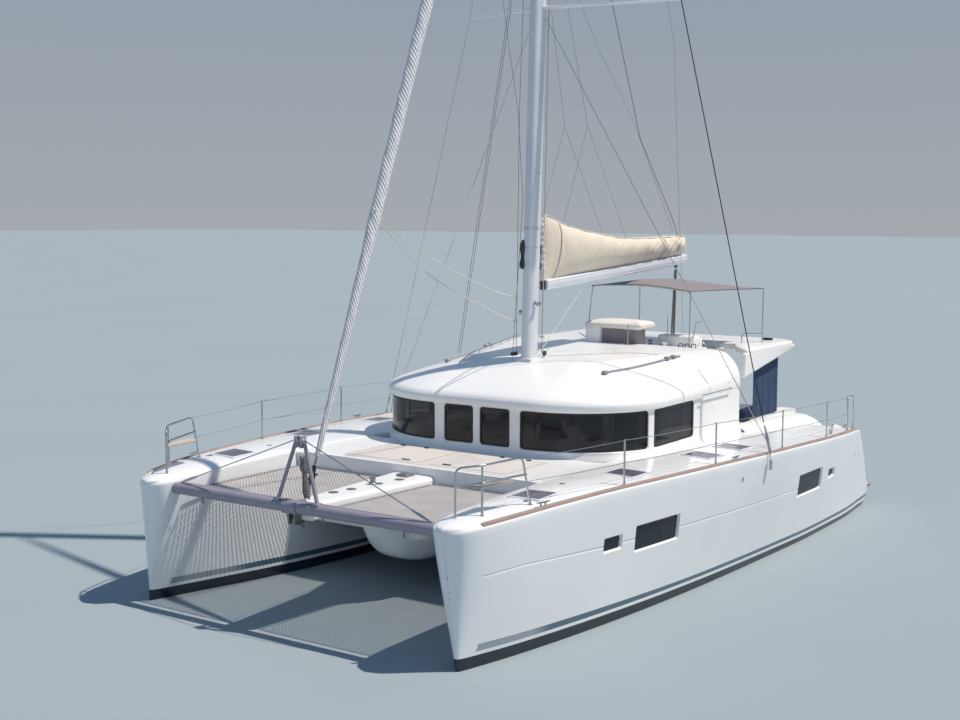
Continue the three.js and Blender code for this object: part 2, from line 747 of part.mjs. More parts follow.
function guardRail() {
  const foot = (x, y) => [x, y, deckHeight(Math.max(y, -6200)) + 3];
  const top = (x, y, up = RAIL_HEIGHT) => [x, y, deckHeight(Math.max(y, -6200)) + up];
  const inner = [2450, -6100];
  const outer = [2670, -5860];
  const aft = [2860, -5100];
  const pulpitBend = [aft[0] - 20, aft[1] - 140];
  const pulpit = bars([foot(...inner), top(...inner), top(...outer), top(...pulpitBend), foot(...aft)], 13);
  const outerPost = rod(foot(...outer), top(...outer), 13);
  const posts = STANCHIONS.map(([x, y]) => rod(foot(x, y), top(x, y), 12));
  const quarter = [3560, 4350];
  const corner = [3440, 5080];
  const pushpit = bars([foot(...quarter), top(...quarter), top(...corner), foot(...corner)], 13);
  const heads = STANCHIONS.map(([x, y]) => top(x, y, RAIL_HEIGHT - 15));
  const waists = STANCHIONS.map(([x, y]) => top(x, y, 300));
  const wires = [
    bars([top(...pulpitBend), ...heads, top(...quarter)], 6, 6),
    bars([top(aft[0] - 8, aft[1] - 70, 300), ...waists, top(...quarter, 300)], 6, 6),
  ];
  return join(pulpit, outerPost, ...posts, pushpit, ...wires);
}

addPair('guard_rail', guardRail(), stainless);

const pulpitSeat = plate([[2490, -6060], [2650, -5850], [2810, -5330], [2530, -5450]], 2130, 2155);
addPair('pulpit_seat', pulpitSeat, teak);

export default boat;
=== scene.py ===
"""A cruising sailing catamaran, afloat with her sails furled: surfaces, finishes, light and camera."""

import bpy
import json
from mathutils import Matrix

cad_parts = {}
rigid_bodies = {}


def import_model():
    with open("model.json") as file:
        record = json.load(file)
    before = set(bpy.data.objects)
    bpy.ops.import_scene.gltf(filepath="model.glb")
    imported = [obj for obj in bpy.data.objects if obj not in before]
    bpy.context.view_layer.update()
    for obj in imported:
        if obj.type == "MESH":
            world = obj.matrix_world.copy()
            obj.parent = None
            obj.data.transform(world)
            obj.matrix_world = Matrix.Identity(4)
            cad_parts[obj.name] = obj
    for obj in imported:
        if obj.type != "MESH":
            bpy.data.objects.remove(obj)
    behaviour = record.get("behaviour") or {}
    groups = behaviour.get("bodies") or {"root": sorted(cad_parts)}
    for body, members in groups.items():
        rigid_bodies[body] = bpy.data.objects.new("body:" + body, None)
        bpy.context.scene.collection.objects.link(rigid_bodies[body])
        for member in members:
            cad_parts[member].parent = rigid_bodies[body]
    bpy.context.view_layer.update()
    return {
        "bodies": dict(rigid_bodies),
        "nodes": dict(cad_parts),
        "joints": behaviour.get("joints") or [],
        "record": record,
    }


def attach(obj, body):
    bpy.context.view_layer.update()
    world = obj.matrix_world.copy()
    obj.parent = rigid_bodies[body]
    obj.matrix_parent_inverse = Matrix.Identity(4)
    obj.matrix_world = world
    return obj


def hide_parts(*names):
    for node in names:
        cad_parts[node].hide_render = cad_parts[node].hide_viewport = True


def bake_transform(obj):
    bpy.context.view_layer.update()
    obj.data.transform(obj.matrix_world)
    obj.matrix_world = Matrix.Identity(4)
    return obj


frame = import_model()

import json
import math

import bmesh
import bpy
import numpy as np
from mathutils import Matrix, Vector
from mathutils.bvhtree import BVHTree

# Shapes: a shape is (points, faces, uv), with uv in metres along the rows and the columns of its grid


def unit(vectors):
    """Each vector at length one."""
    return vectors / np.maximum(np.linalg.norm(vectors, axis=-1, keepdims=True), 1e-12)


def lengths(points, axis):
    """How far along an axis of a grid each of its lines lies, as the mean over the other axis."""
    steps = np.linalg.norm(np.diff(points, axis=axis), axis=-1).mean(1 - axis)
    return np.concatenate([[0.0], np.cumsum(steps)])


def grid(points, caps=False):
    """Quads over rows and columns of points; caps closes the first and the last row with one face."""
    rows, columns = points.shape[:2]
    corner = np.arange(rows * columns).reshape(rows, columns)
    quads = np.stack([corner[:-1, :-1], corner[:-1, 1:], corner[1:, 1:], corner[1:, :-1]], -1)
    faces = quads.reshape(-1, 4).tolist()
    if caps:
        faces += [corner[0, :-1][::-1].tolist(), corner[-1, :-1].tolist()]
    uv = np.stack(np.meshgrid(lengths(points, 0), lengths(points, 1), indexing="ij"), -1)
    return points.reshape(-1, 3), faces, uv.reshape(-1, 2)


def together(*shapes):
    """Several shapes as one."""
    start = np.cumsum([0] + [len(points) for points, _, _ in shapes])
    faces = [[index + first for index in face]
             for first, shape in zip(start.tolist(), shapes) for face in shape[1]]
    return np.concatenate([s[0] for s in shapes]), faces, np.concatenate([s[2] for s in shapes])


def through(places, values, at):
    """Smooth values between those of a table: cubic pieces whose slopes are the weighted harmonic mean of the
    two chords beside each place, and zero at a turning point, so that no piece swings past its ends."""
    step = np.diff(places)[:, None]
    chord = np.diff(values, axis=0) / step
    before, after = 2 * step[1:] + step[:-1], step[1:] + 2 * step[:-1]
    same = chord[1:] * chord[:-1] > 0
    safe = np.where(same, chord[:-1], 1.0), np.where(same, chord[1:], 1.0)
    inner = np.where(same, (before + after) / (before / safe[0] + after / safe[1]), 0.0)
    slope = np.concatenate([chord[:1], inner, chord[-1:]])
    at = np.asarray(at, float)
    i = np.clip(np.searchsorted(places, at, side="right") - 1, 0, len(places) - 2)
    h = (places[i + 1] - places[i])[..., None]
    t = np.clip((at - places[i])[..., None] / h, 0, 1)
    return ((1 + 2 * t) * (1 - t) ** 2 * values[i] + t * (1 - t) ** 2 * h * slope[i]
            + t * t * (3 - 2 * t) * values[i + 1] - t * t * (1 - t) * h * slope[i + 1])


def bent(corners, radius=0.06, steps=6, closed=False):
    """A path through corner points, each rounded by a quadratic curve that reaches `radius` to each side."""
    corners = np.asarray(corners, float)
    middle = corners if closed else corners[1:-1]
    back = (np.roll(corners, 1, 0) if closed else corners[:-2]) - middle
    on = (np.roll(corners, -1, 0) if closed else corners[2:]) - middle
    reach_back = np.minimum(radius, 0.48 * np.linalg.norm(back, axis=1))[:, None]
    reach_on = np.minimum(radius, 0.48 * np.linalg.norm(on, axis=1))[:, None]
    t = np.linspace(0, 1, steps)[:, None]
    curve = ((1 - t) ** 2 * (middle + unit(back) * reach_back)[:, None] + 2 * t * (1 - t) * middle[:, None]
             + t * t * (middle + unit(on) * reach_on)[:, None]).reshape(-1, corners.shape[1])
    return curve if closed else np.concatenate([corners[:1], curve, corners[-1:]])


def tube(path, radius, sides=10):
    """A round bar along a path: a ring of points square to the path at each of its points."""
    path = np.asarray(path, float)
    ahead = unit(np.gradient(path, axis=0))
    helper = np.eye(3)[np.argmin(np.abs(ahead).max(0))]
    across = unit(np.cross(ahead, helper))
    up = np.cross(across, ahead)
    angle = np.linspace(0, 2 * np.pi, sides + 1)[None, :, None]
    ring = across[:, None] * np.cos(angle) + up[:, None] * np.sin(angle)
    size = np.broadcast_to(radius, len(path))[:, None, None]
    return grid(path[:, None] + size * ring, caps=True)


def hanging(a, b, sag, steps=16):
    """A line from a to b whose middle hangs `sag` below the chord, as a parabola."""
    t = np.linspace(0, 1, steps)[:, None]
    path = np.asarray(a, float) * (1 - t) + np.asarray(b, float) * t
    return path - np.array([0, 0, 4 * sag]) * t * (1 - t)


def turned(profile, centre, axis=(0, 0, 1), sides=20):
    """A profile of (radius, height) rows carried round an axis through the centre."""
    profile = np.asarray(profile, float)
    axis = unit(np.asarray(axis, float))
    across = unit(np.cross(axis, np.eye(3)[np.argmin(np.abs(axis))]))
    angle = np.linspace(0, 2 * np.pi, sides + 1)[None, :, None]
    ring = across * np.cos(angle) + np.cross(axis, across) * np.sin(angle)
    return grid(centre + profile[:, :1, None] * ring + profile[:, 1:, None] * axis, caps=True)


def block(low, high, radius=0.01, steps=3):
    """A box with rounded edges: the directions of a sphere in rows from its foot to its top, each pushed out
    to the box's nearest corner, between a middle point of the floor and one of the top."""
    low, high = np.asarray(low, float), np.asarray(high, float)
    centre, half = (low + high) / 2, (high - low) / 2
    radius = min(radius, 0.98 * half.min())
    quarter = np.linspace(0, np.pi / 2, steps + 1)
    turn = np.concatenate([quarter + k * np.pi / 2 for k in range(4)] + [[2 * np.pi]])
    side = np.repeat([[1, 1], [-1, 1], [-1, -1], [1, -1]], steps + 1, axis=0)
    side = np.concatenate([side, side[:1]])
    rise = np.concatenate([quarter - np.pi / 2, quarter])
    level = np.repeat([-1, 1], steps + 1)
    flat, steep = np.cos(rise)[:, None], np.sin(rise)[:, None]
    way = np.stack(np.broadcast_arrays(flat * np.cos(turn), flat * np.sin(turn), steep), -1)
    corner = np.stack(np.broadcast_arrays(side[:, 0], side[:, 1], level[:, None]), -1) * (half - radius)
    rings = centre + corner + radius * way
    ends = [np.broadcast_to(centre + [0, 0, sign * half[2]], rings[:1].shape) for sign in (-1, 1)]
    return grid(np.concatenate([ends[0], rings, ends[1]]))


def slab(outline, z0, z1, edge=0.02, steps=4):
    """A plate of a flat outline with rounded edges: rings of the outline drawn in by a quarter circle."""
    outline = np.asarray(outline, float)
    legs = unit(np.roll(outline, -1, 0) - outline)
    out = np.stack([legs[:, 1], -legs[:, 0]], -1)
    mitre = (out + np.roll(out, 1, 0)) / (1 + (out * np.roll(out, 1, 0)).sum(1, keepdims=True))
    area = (outline[:, 0] * np.roll(outline[:, 1], -1) - np.roll(outline[:, 0], -1) * outline[:, 1]).sum()
    angle = np.linspace(0, np.pi / 2, steps)
    inset = np.concatenate([edge * (1 - np.sin(angle)), edge * (1 - np.cos(angle))])
    height = np.concatenate([z0 + edge * (1 - np.cos(angle)), z1 - edge * (1 - np.sin(angle))])
    rings = outline - mitre * np.sign(area) * inset[:, None, None]
    rings = np.concatenate([rings, np.broadcast_to(height[:, None, None], rings.shape[:2] + (1,))], -1)
    return grid(np.concatenate([rings, rings[:, :1]], 1), caps=True)


def rounded(square, half, radius):
    """The point of a rectangle with rounded corners that answers each edge point of a square of side 2."""
    size = np.abs(half)
    point = square * size
    inner = np.clip(point, radius - size, size - radius)
    return (inner + radius * unit(point - inner)) * np.sign(half)


def panel(place, u, v, openings, margin=0.02):
    """A skin over lines u and v with rounded openings. The cells that an opening touches are left out. The
    edge of that gap is joined to the opening's own edge, point by point, which then runs in along its
    reveal. An opening is (centre, half size, corner radius, reveal, convert): convert turns its own measures
    into u, v, and reveal lists how far each further ring is drawn in and how deep it lies."""
    found = []
    for centre, half, radius, reveal, convert in openings:
        corners = np.array(centre) + np.array([[-1, -1], [-1, 1], [1, 1], [1, -1]]) * np.array(half)
        ends = np.stack(convert(corners[:, 0], corners[:, 1]), -1)
        low, high = ends.min(0), ends.max(0)
        bend = (high - low) * radius / (2 * np.abs(half))
        near = np.array([0, 0.15, 0.4, 0.7, 1.0])[:, None]
        extra = np.concatenate([low + near * bend, high - near * bend, [low - margin, high + margin]])
        u, v = np.append(u, extra[:, 0]), np.append(v, extra[:, 1])
        found.append((low, high))
    u, v = np.unique(np.round(u, 5)), np.unique(np.round(v, 5))
    points = place(u[:, None], v[None, :], 0.0)
    whole = grid(points)
    cells = np.ones((len(u) - 1, len(v) - 1), bool)
    shapes = []
    for (low, high), (centre, half, radius, reveal, convert) in zip(found, openings):
        i0, i1 = np.searchsorted(u, low[0] - margin / 2) - 1, np.searchsorted(u, high[0] + margin / 2)
        j0, j1 = np.searchsorted(v, low[1] - margin / 2) - 1, np.searchsorted(v, high[1] + margin / 2)
        cells[i0:i1, j0:j1] = False
        i = np.r_[i0:i1, np.full(j1 - j0, i1), i1:i0:-1, np.full(j1 - j0, i0), i0]
        j = np.r_[np.full(i1 - i0, j0), j0:j1, np.full(i1 - i0, j1), j1:j0:-1, j0]
        share = np.stack([(u[i] - u[i0]) / (u[i1] - u[i0]), (v[j] - v[j0]) / (v[j1] - v[j0])], -1)
        square = 2 * share - 1
        rings = [points[i, j]]
        for inset, depth in reveal:
            edge = np.array(centre) + rounded(square, half - np.sign(half) * inset, radius)
            rings.append(place(*convert(edge[:, 0], edge[:, 1]), depth))
        shapes.append(grid(np.stack(rings)))
    kept = np.flatnonzero(cells.ravel())
    return together((whole[0], [whole[1][k] for k in kept], whole[2]), *shapes)


def same(a, b):
    """Measures that already are u and v."""
    return a, b


# Pieces


def piece(name, shape, material, body="root", replaces=(), crease=40):
    """A mesh object of a shape: its doubled points are merged and its faces turned outwards. It is smooth but
    for edges sharper than `crease` degrees, and it rides on a body. Its slot is its material's."""
    points, faces, uv = shape
    mesh = bpy.data.meshes.new(name)
    mesh.from_pydata(points, [], faces)
    layer = mesh.uv_layers.new(name="metres")
    corner = np.zeros(len(mesh.loops), np.int32)
    mesh.loops.foreach_get("vertex_index", corner)
    layer.data.foreach_set("uv", uv[corner].astype(np.float32).ravel())
    work = bmesh.new()
    work.from_mesh(mesh)
    bmesh.ops.remove_doubles(work, verts=work.verts, dist=2e-5)
    loose = [vertex for vertex in work.verts if not vertex.link_faces]
    bmesh.ops.delete(work, geom=loose, context="VERTS")
    bmesh.ops.recalc_face_normals(work, faces=work.faces)
    work.to_mesh(mesh)
    work.free()
    mesh.polygons.foreach_set("use_smooth", np.ones(len(mesh.polygons), bool))
    mesh.set_sharp_from_angle(angle=math.radians(crease))
    mesh.materials.append(material)
    made = bpy.data.objects.new(name, mesh)
    bpy.context.scene.collection.objects.link(made)
    if body:
        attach(made, body)
    if replaces:
        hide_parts(*replaces)
    return made


def mirrored(shape):
    """The shape on the other side of the centreline."""
    return shape[0] * [-1, 1, 1], shape[1], shape[2]


def pair(name, shape, material, body="root", replaces=(), crease=40):
    """The same piece on the port and the starboard side; body and replaced nodes take the side's name."""
    for side, made in (("port", shape), ("starboard", mirrored(shape))):
        piece(f"{name}_{side}", made, material, body.format(side), [n.format(side) for n in replaces], crease)


# Finishes


def linear(code):
    """The linear colour of an sRGB hex value."""
    channels = [int(code[i:i + 2], 16) / 255 for i in (0, 2, 4)]
    return tuple(c / 12.92 if c <= 0.04045 else ((c + 0.055) / 1.055) ** 2.4 for c in channels) + (1.0,)


def node(tree, kind, inputs=None, **settings):
    """A shader node, each input set to a value or fed by a socket."""
    made = tree.nodes.new("ShaderNode" + kind)
    for key, value in settings.items():
        setattr(made, key, value)
    for key, value in (inputs or {}).items():
        if isinstance(value, bpy.types.NodeSocket):
            tree.links.new(value, made.inputs[key])
        else:
            made.inputs[key].default_value = value
    return made


def height(tree, place, pattern, size):
    """The height of one pattern of relief, repeated about every `size` metres: noise (grain, and brush which
    is drawn out along z), round cells, one sine of x + y (twist) or the product of two sines (weave)."""
    if pattern == "grain":
        return node(tree, "TexNoise", {"Vector": place, "Scale": 1 / size, "Detail": 4.0}).outputs["Fac"]
    if pattern == "cells":
        return node(tree, "TexVoronoi", {"Vector": place, "Scale": 1 / size}).outputs["Distance"]
    if pattern == "brush":
        stretched = 1 / size, 1 / size, 0.02 / size
        spread = node(tree, "VectorMath", {0: place, 1: stretched}, operation="MULTIPLY").outputs[0]
        return node(tree, "TexNoise", {"Vector": spread, "Scale": 1.0, "Detail": 2.0}).outputs["Fac"]
    turns = node(tree, "VectorMath", {0: place, 1: (math.tau / size,) * 3}, operation="MULTIPLY").outputs[0]
    axes = node(tree, "SeparateXYZ", {0: turns})
    if pattern == "twist":
        both = node(tree, "Math", {0: axes.outputs[0], 1: axes.outputs[1]}, operation="ADD").outputs[0]
        return node(tree, "Math", {0: both}, operation="SINE").outputs[0]
    waves = [node(tree, "Math", {0: axes.outputs[k]}, operation="SINE").outputs[0] for k in (0, 1)]
    return node(tree, "Math", {0: waves[0], 1: waves[1]}, operation="MULTIPLY").outputs[0]


def finish(name, colour, roughness, slot=None, metallic=0.0, second=None, patch=0.5, share=0.6, spread=0.06,
           relief=(), space="Object", coat=0.0, sheen=0.0, alpha=1.0, gloss=0.5, paint=None):
    """A material. Its colour drifts towards a second one over patches of `patch` metres, its roughness by
    `spread` over smaller ones, and each row of relief is a pattern with its size and height in metres."""
    material = bpy.data.materials.new(name)
    material.use_nodes = True
    tree = material.node_tree
    shader = tree.nodes["Principled BSDF"]
    place = node(tree, "TexCoord").outputs[space]
    patches = node(tree, "TexNoise", {"Vector": place, "Scale": 1 / patch, "Detail": 3.0}).outputs["Fac"]
    amount = node(tree, "MapRange", {"Value": patches, "From Min": 0.4, "From Max": 0.7, "To Max": share})
    shades = {0: amount.outputs[0], 1: linear(colour), 2: linear(second or colour)}
    tone = node(tree, "MixRGB", shades).outputs[0]
    if paint:
        tone = paint(tree, node(tree, "TexCoord").outputs["Object"], tone)
    tree.links.new(tone, shader.inputs["Base Color"])
    smears = node(tree, "TexNoise", {"Vector": place, "Scale": 5 / patch, "Detail": 5.0}).outputs["Fac"]
    low, high = max(roughness - spread, 0.02), min(roughness + spread, 1.0)
    rough = node(tree, "MapRange", {"Value": smears, "From Min": 0.3, "From Max": 0.7,
                                    "To Min": low, "To Max": high})
    tree.links.new(rough.outputs[0], shader.inputs["Roughness"])
    shader.inputs["Metallic"].default_value = metallic
    shader.inputs["Coat Weight"].default_value = coat
    shader.inputs["Sheen Weight"].default_value = sheen
    shader.inputs["Alpha"].default_value = alpha
    shader.inputs["Specular IOR Level"].default_value = gloss
    normal = None
    for pattern, size, rise in relief:
        inputs = {"Height": height(tree, place, pattern, size), "Distance": rise, "Strength": 1.0}
        if normal:
            inputs["Normal"] = normal
        normal = node(tree, "Bump", inputs).outputs[0]
    if normal:
        tree.links.new(normal, shader.inputs["Normal"])
    if slot:
        material["slot"] = slot
    return material


STRIPE_BOW_Y = -6.05
BOOT_TOP = {"bow": 0.155, "stern": 0.065}
WHITE_LINE = 0.045


def waterline_bands(tree, place, gelcoat):
    """Paints the hull's bands over its white: antifouling up to a boot top that falls towards the stern, a
    thin white line, and a slate stripe that tapers aft and starts pale and slanted near the bow."""
    axes = node(tree, "SeparateXYZ", {0: place})
    y, z = axes.outputs[1], axes.outputs[2]
    boot = node(tree, "MapRange", {"Value": y, "From Min": -6.0, "From Max": 5.0,
                                   "To Min": BOOT_TOP["bow"], "To Max": BOOT_TOP["stern"]}).outputs[0]
    line = node(tree, "Math", {0: boot, 1: WHITE_LINE}, operation="ADD").outputs[0]
    width = node(tree, "MapRange", {"Value": y, "From Min": -6.0, "From Max": -1.5,
                                    "To Min": 0.09, "To Max": 0.058}).outputs[0]
    top = node(tree, "Math", {0: line, 1: width}, operation="ADD").outputs[0]
    slant = node(tree, "Math", {0: z, 1: -0.3, 2: 0.08}, operation="MULTIPLY_ADD").outputs[0]
    start = node(tree, "Math", {0: y, 1: slant}, operation="ADD").outputs[0]
    tests = [(z, line, "GREATER_THAN"), (z, top, "LESS_THAN"), (start, STRIPE_BOW_Y, "GREATER_THAN")]
    inside = [node(tree, "Math", {0: a, 1: b}, operation=kind).outputs[0] for a, b, kind in tests]
    band = node(tree, "Math", {0: inside[0], 1: inside[1]}, operation="MULTIPLY").outputs[0]
    band = node(tree, "Math", {0: band, 1: inside[2]}, operation="MULTIPLY").outputs[0]
    fade = node(tree, "MapRange", {"Value": y, "From Min": -5.15, "From Max": -4.8}).outputs[0]
    slate = node(tree, "MixRGB", {0: fade, 1: linear("9ba3ab"), 2: linear("4f6a79")}).outputs[0]
    striped = node(tree, "MixRGB", {0: band, 1: gelcoat, 2: slate}).outputs[0]
    below = node(tree, "Math", {0: z, 1: boot}, operation="LESS_THAN").outputs[0]
    return node(tree, "MixRGB", {0: below, 1: striped, 2: linear("1c2733")}).outputs[0]


# Polished gelcoat moulded in a mirror-smooth tool: cool white, glossy under a clear skin, faintly wavy
GELCOAT = dict(second="e3e7ea", patch=1.8, share=0.5, spread=0.05, coat=0.25, relief=[("grain", 0.9, 0.0012)])
hull_gelcoat = finish("gelcoat_polished_hull", "eef1f3", 0.22, "gelcoat", paint=waterline_bands, **GELCOAT)
deck_gelcoat = finish("gelcoat_polished_deck", "f2f3f2", 0.3, "gelcoat", **GELCOAT)
# Moulded non-skid: a sand-coloured patch of small raised grains, drawn twice their size so that they show
nonskid = finish("gelcoat_moulded_nonskid", "cbc7c4", 0.8, "nonskid", second="c0bcb8", patch=0.4,
                 relief=[("cells", 0.02, 0.003)])
# Smoked acrylic: near-black, very glossy, with the saloon just visible through it
smoked = finish("acrylic_cast_smoked", "1d1f27", 0.05, "smoked_acrylic", spread=0.02, alpha=0.78)
# The hatches' smoked acrylic, its colour lightened to a greyer plum as a painted sky reflection, with a weak
# gloss
hatch_acrylic_painted_reflection = finish("acrylic_cast_hatch", "63606d", 0.22, "smoked_acrylic", second="54515d", patch=0.2,
                     gloss=0.28)
# The hull windows' acrylic, backed in black: solid slate that hides what is behind it
hull_smoke = finish("acrylic_cast_window", "222832", 0.15, "smoked_acrylic", second="1a1f27", patch=0.2,
                    gloss=0.28)
# Flexible rubbing strip: extruded taupe composite with a fine lengthwise grain
rub_strip = finish("composite_extruded_toe_rail", "a08c87", 0.7, second="8d7a76", patch=0.35,
                   relief=[("grain", 0.02, 0.001)])
# Anodised aluminium extrusion: satin grey with lengthwise die lines
anodised = finish("aluminium_anodised_satin", "dfe3ea", 0.4, "anodised", metallic=0.2, second="d2d7e0",
                  patch=0.6, relief=[("brush", 0.004, 0.0002)])
# The forward beam's aluminium, sprayed a violet grey: soft highlights and a slight orange peel
dark_anodised = finish("aluminium_painted_grey", "9c98a6", 0.5, "dark_anodised", metallic=0.2,
                       second="8d8998", patch=0.5, relief=[("grain", 0.05, 0.0005)])
# Stainless steel tube, mechanically polished
steel = finish("stainless_polished", "c4c7ca", 0.17, "stainless", metallic=1.0, second="adb1b5", patch=0.08)
# Knotless polyester net, weathered sand grey
net_cord = finish("polyester_braided_net", "c9c6c6", 0.9, "netting", second="b8b5b5", patch=0.3,
                  relief=[("grain", 0.006, 0.001)])
# Acrylic canvas, woven: fine threads drawn at 6 mm so that they show
WEAVE = dict(space="UV", sheen=0.08, relief=[("grain", 0.12, 0.004), ("weave", 0.006, 0.0006)])
beige_canvas = finish("acrylic_woven_beige", "ece1d0", 0.88, "beige_canvas", second="dccfbb", patch=0.5,
                      **WEAVE)
# Taupe woven canvas: the canopy's own colour, and painted shade on the block under the sun pad
taupe_canvas = finish("acrylic_woven_taupe", "8e878c", 0.9, "taupe_canvas", second="807a7f", patch=0.6,
                      **WEAVE)
navy_canvas = finish("acrylic_woven_navy", "1c3a5e", 0.8, "navy_canvas", second="172f4e", patch=0.4,
                     gloss=0.2, **WEAVE)
# Charcoal woven canvas; on the bag's collar round the mast its darkness is painted shade
dark_canvas_and_painted_shade = finish("acrylic_woven_charcoal", "4a4641", 0.85, second="37342f", patch=0.2, **WEAVE)
# Quilted navy cover over foam: small soft bumps and hardly any gloss
navy_pad = finish("acrylic_padded_navy", "1d2b47", 0.85, second="172239", patch=0.3, gloss=0.2,
                  relief=[("cells", 0.012, 0.0012)])
# Laminated sailcloth with its sun strip, crisp and off-white
sailcloth = finish("polyester_laminated_sailcloth", "ccced4", 0.7, "sailcloth", second="b7bac2", patch=0.35,
                   space="UV", relief=[("grain", 0.15, 0.006), ("weave", 0.005, 0.0003)])
# The same cloth rolled up under a spiral of its own sun strip, whose edges stand proud like the lay of a rope
furled_cloth = finish("polyester_furled_sailcloth", "dcdde0", 0.75, "sailcloth", second="c2c4ca", patch=0.12,
                      space="UV", relief=[("grain", 0.10, 0.006), ("twist", 0.06, 0.003)])
# Braided rope: the strands wind round it
white_rope = finish("polyester_braided_white", "dcd9d2", 0.85, second="c6c1b6", patch=0.1, space="UV",
                    relief=[("twist", 0.03, 0.002)])
grey_rope = finish("polyester_braided_grey", "8d8c8a", 0.85, second="6f6e6c", patch=0.1, space="UV",
                   relief=[("twist", 0.03, 0.002)])
# Sleeved rigging wire: dark blue-grey plastic over steel strand
rigging = finish("steel_sleeved_wire", "2c3440", 0.4, "stainless", metallic=0.3, second="232a34", patch=0.2)
# Moulded black plastic and rubber
black_plastic = finish("nylon_moulded_black", "25262a", 0.5, second="303237", patch=0.05)
# Oiled slats of tan hardwood
slats = finish("teak_planed_tan", "bcb3a6", 0.65, "teak", second="a59b8c", patch=0.15,
               relief=[("brush", 0.006, 0.0008)])
# Padded marine vinyl, soft white, with a leather grain
vinyl = finish("vinyl_pressed_white", "e4e1da", 0.55, "vinyl", second="d6d2c8", patch=0.3,
               relief=[("cells", 0.012, 0.0012)])
# Woven upholstery and curtain cloth in the saloon
curtain_cloth = finish("polyester_woven_curtain", "b9a89c", 0.9, "upholstery", second="a3938a", patch=0.2,
                       **WEAVE)
seat_cloth = finish("polyester_woven_seat", "b3a48c", 0.9, "upholstery", second="9d8f78", patch=0.3, **WEAVE)
# Antifouling, brushed on and matt
antifoul = finish("antifouling_brushed", "1c2733", 0.75, "antifouling", second="232f3c", patch=0.3,
                  relief=[("grain", 0.03, 0.0015)])
# Cast aluminium under a satin grey paint
cast_leg = finish("aluminium_cast_painted", "9aa1a6", 0.5, "cast_leg", second="858c92", patch=0.2)
# Cast bronze, polished by the water: golden, with duller patches
propeller_bronze = finish("bronze_cast_polished", "b08a4e", 0.3, "bronze", metallic=1.0, second="8c6b3a",
                          patch=0.1)
# Steel dipped in zinc: a dull grey with small spangles
galvanised = finish("steel_galvanised", "8f9294", 0.5, metallic=0.8, second="75787b", patch=0.05,
                    relief=[("cells", 0.02, 0.0006)])

# Hulls

HULL = np.array([
    # y, deck edge out, deck edge in, sheer, bilge out, bilge in, bilge height, keel, lean
    [-6.310, 2.510, 2.490, 1.655, 2.623, 2.617, 0.00, -0.05, 0.120],
    [-6.300, 2.570, 2.430, 1.670, 2.640, 2.600, 0.00, -0.12, 0.120],
    [-6.255, 2.690, 2.320, 1.700, 2.655, 2.585, 0.00, -0.22, 0.115],
    [-6.150, 2.790, 2.240, 1.725, 2.685, 2.555, 0.00, -0.34, 0.110],
    [-5.950, 2.890, 2.190, 1.750, 2.735, 2.500, 0.00, -0.42, 0.090],
    [-5.500, 3.010, 2.175, 1.780, 2.840, 2.380, 0.00, -0.49, 0.060],
    [-4.700, 3.140, 2.175, 1.805, 2.990, 2.170, 0.00, -0.54, 0.030],
    [-3.700, 3.280, 2.190, 1.815, 3.140, 1.970, 0.00, -0.58, 0.000],
    [-2.400, 3.450, 2.150, 1.805, 3.290, 1.830, 0.00, -0.60, 0.000],
    [-0.800, 3.620, 2.100, 1.780, 3.415, 1.805, 0.00, -0.61, 0.000],
    [1.000, 3.735, 2.080, 1.725, 3.510, 1.800, 0.00, -0.60, 0.000],
    [2.600, 3.750, 2.080, 1.660, 3.570, 1.800, 0.00, -0.54, 0.000],
    [4.100, 3.670, 2.080, 1.580, 3.560, 1.820, 0.00, -0.38, 0.000],
    [5.050, 3.555, 2.080, 1.515, 3.500, 1.850, 0.00, -0.19, 0.000],
    [5.140, 3.542, 2.080, 1.490, 3.490, 1.850, 0.00, -0.17, 0.000],
    [5.200, 3.534, 2.080, 1.425, 3.485, 1.852, 0.00, -0.15, 0.000],
    [5.560, 3.490, 2.080, 0.960, 3.460, 1.865, 0.02, -0.06, 0.000],
    [5.860, 3.455, 2.080, 0.450, 3.430, 1.880, 0.08, 0.00, 0.000],
    [5.930, 3.448, 2.080, 0.385, 3.420, 1.885, 0.10, 0.01, 0.000],
    [6.150, 3.425, 2.080, 0.330, 3.380, 1.920, 0.17, 0.10, 0.000],
    [6.250, 3.385, 2.085, 0.312, 3.340, 1.950, 0.21, 0.16, 0.000],
    [6.300, 3.300, 2.120, 0.300, 3.250, 2.000, 0.23, 0.19, 0.000],
])
GUNWALE = 0.05
STEM_HEIGHT = 1.7
WELL_EDGE = 3.23
TREADS = [
    # from y, height
    (4.56, 1.23),
    (4.90, 0.93),
    (5.24, 0.64),
    (5.58, 0.33),
]
MOULD_LINE = np.array([
    # y, height of the line moulded along the topside
    [-6.3, 1.20], [-3.85, 1.085], [-2.0, 1.04], [1.7, 0.97], [3.2, 0.93], [6.3, 0.87],
])
MOULD_SHARE = 0.6


def hull_rows(y):
    """The table's measures at y, with the height of the steps' treads aft and that of the mould line."""
    rows = through(HULL[:, 0], HULL[:, 1:], y)
    out, inner, sheer, bilge_out, bilge_in, bilge, keel, lean = np.moveaxis(rows, -1, 0)
    well = sheer
    for start, tread in TREADS:
        well = np.where(y > start, np.minimum(tread, sheer), well)
    line = np.interp(y, MOULD_LINE[:, 0], MOULD_LINE[:, 1])
    gunwale = np.minimum(GUNWALE, 0.3 * (out - inner))
    line = np.minimum(line, bilge + 0.62 * (sheer - gunwale - bilge) + 0.08)
    edge = np.minimum(WELL_EDGE, out - 0.35 * (out - inner))
    return out, inner, sheer, bilge_out, bilge_in, bilge, keel, lean, well, line, gunwale, edge


def topside_v(y, z):
    """Where a height on the outer side lies between bilge (1) and gunwale (2)."""
    _, _, sheer, _, _, bilge, _, _, _, line, gunwale, _ = hull_rows(y)
    under = MOULD_SHARE * (z - bilge) / (line - bilge)
    over = MOULD_SHARE + (1 - MOULD_SHARE) * (z - line) / (sheer - gunwale - line)
    return 1 + np.where(z < line, under, over)


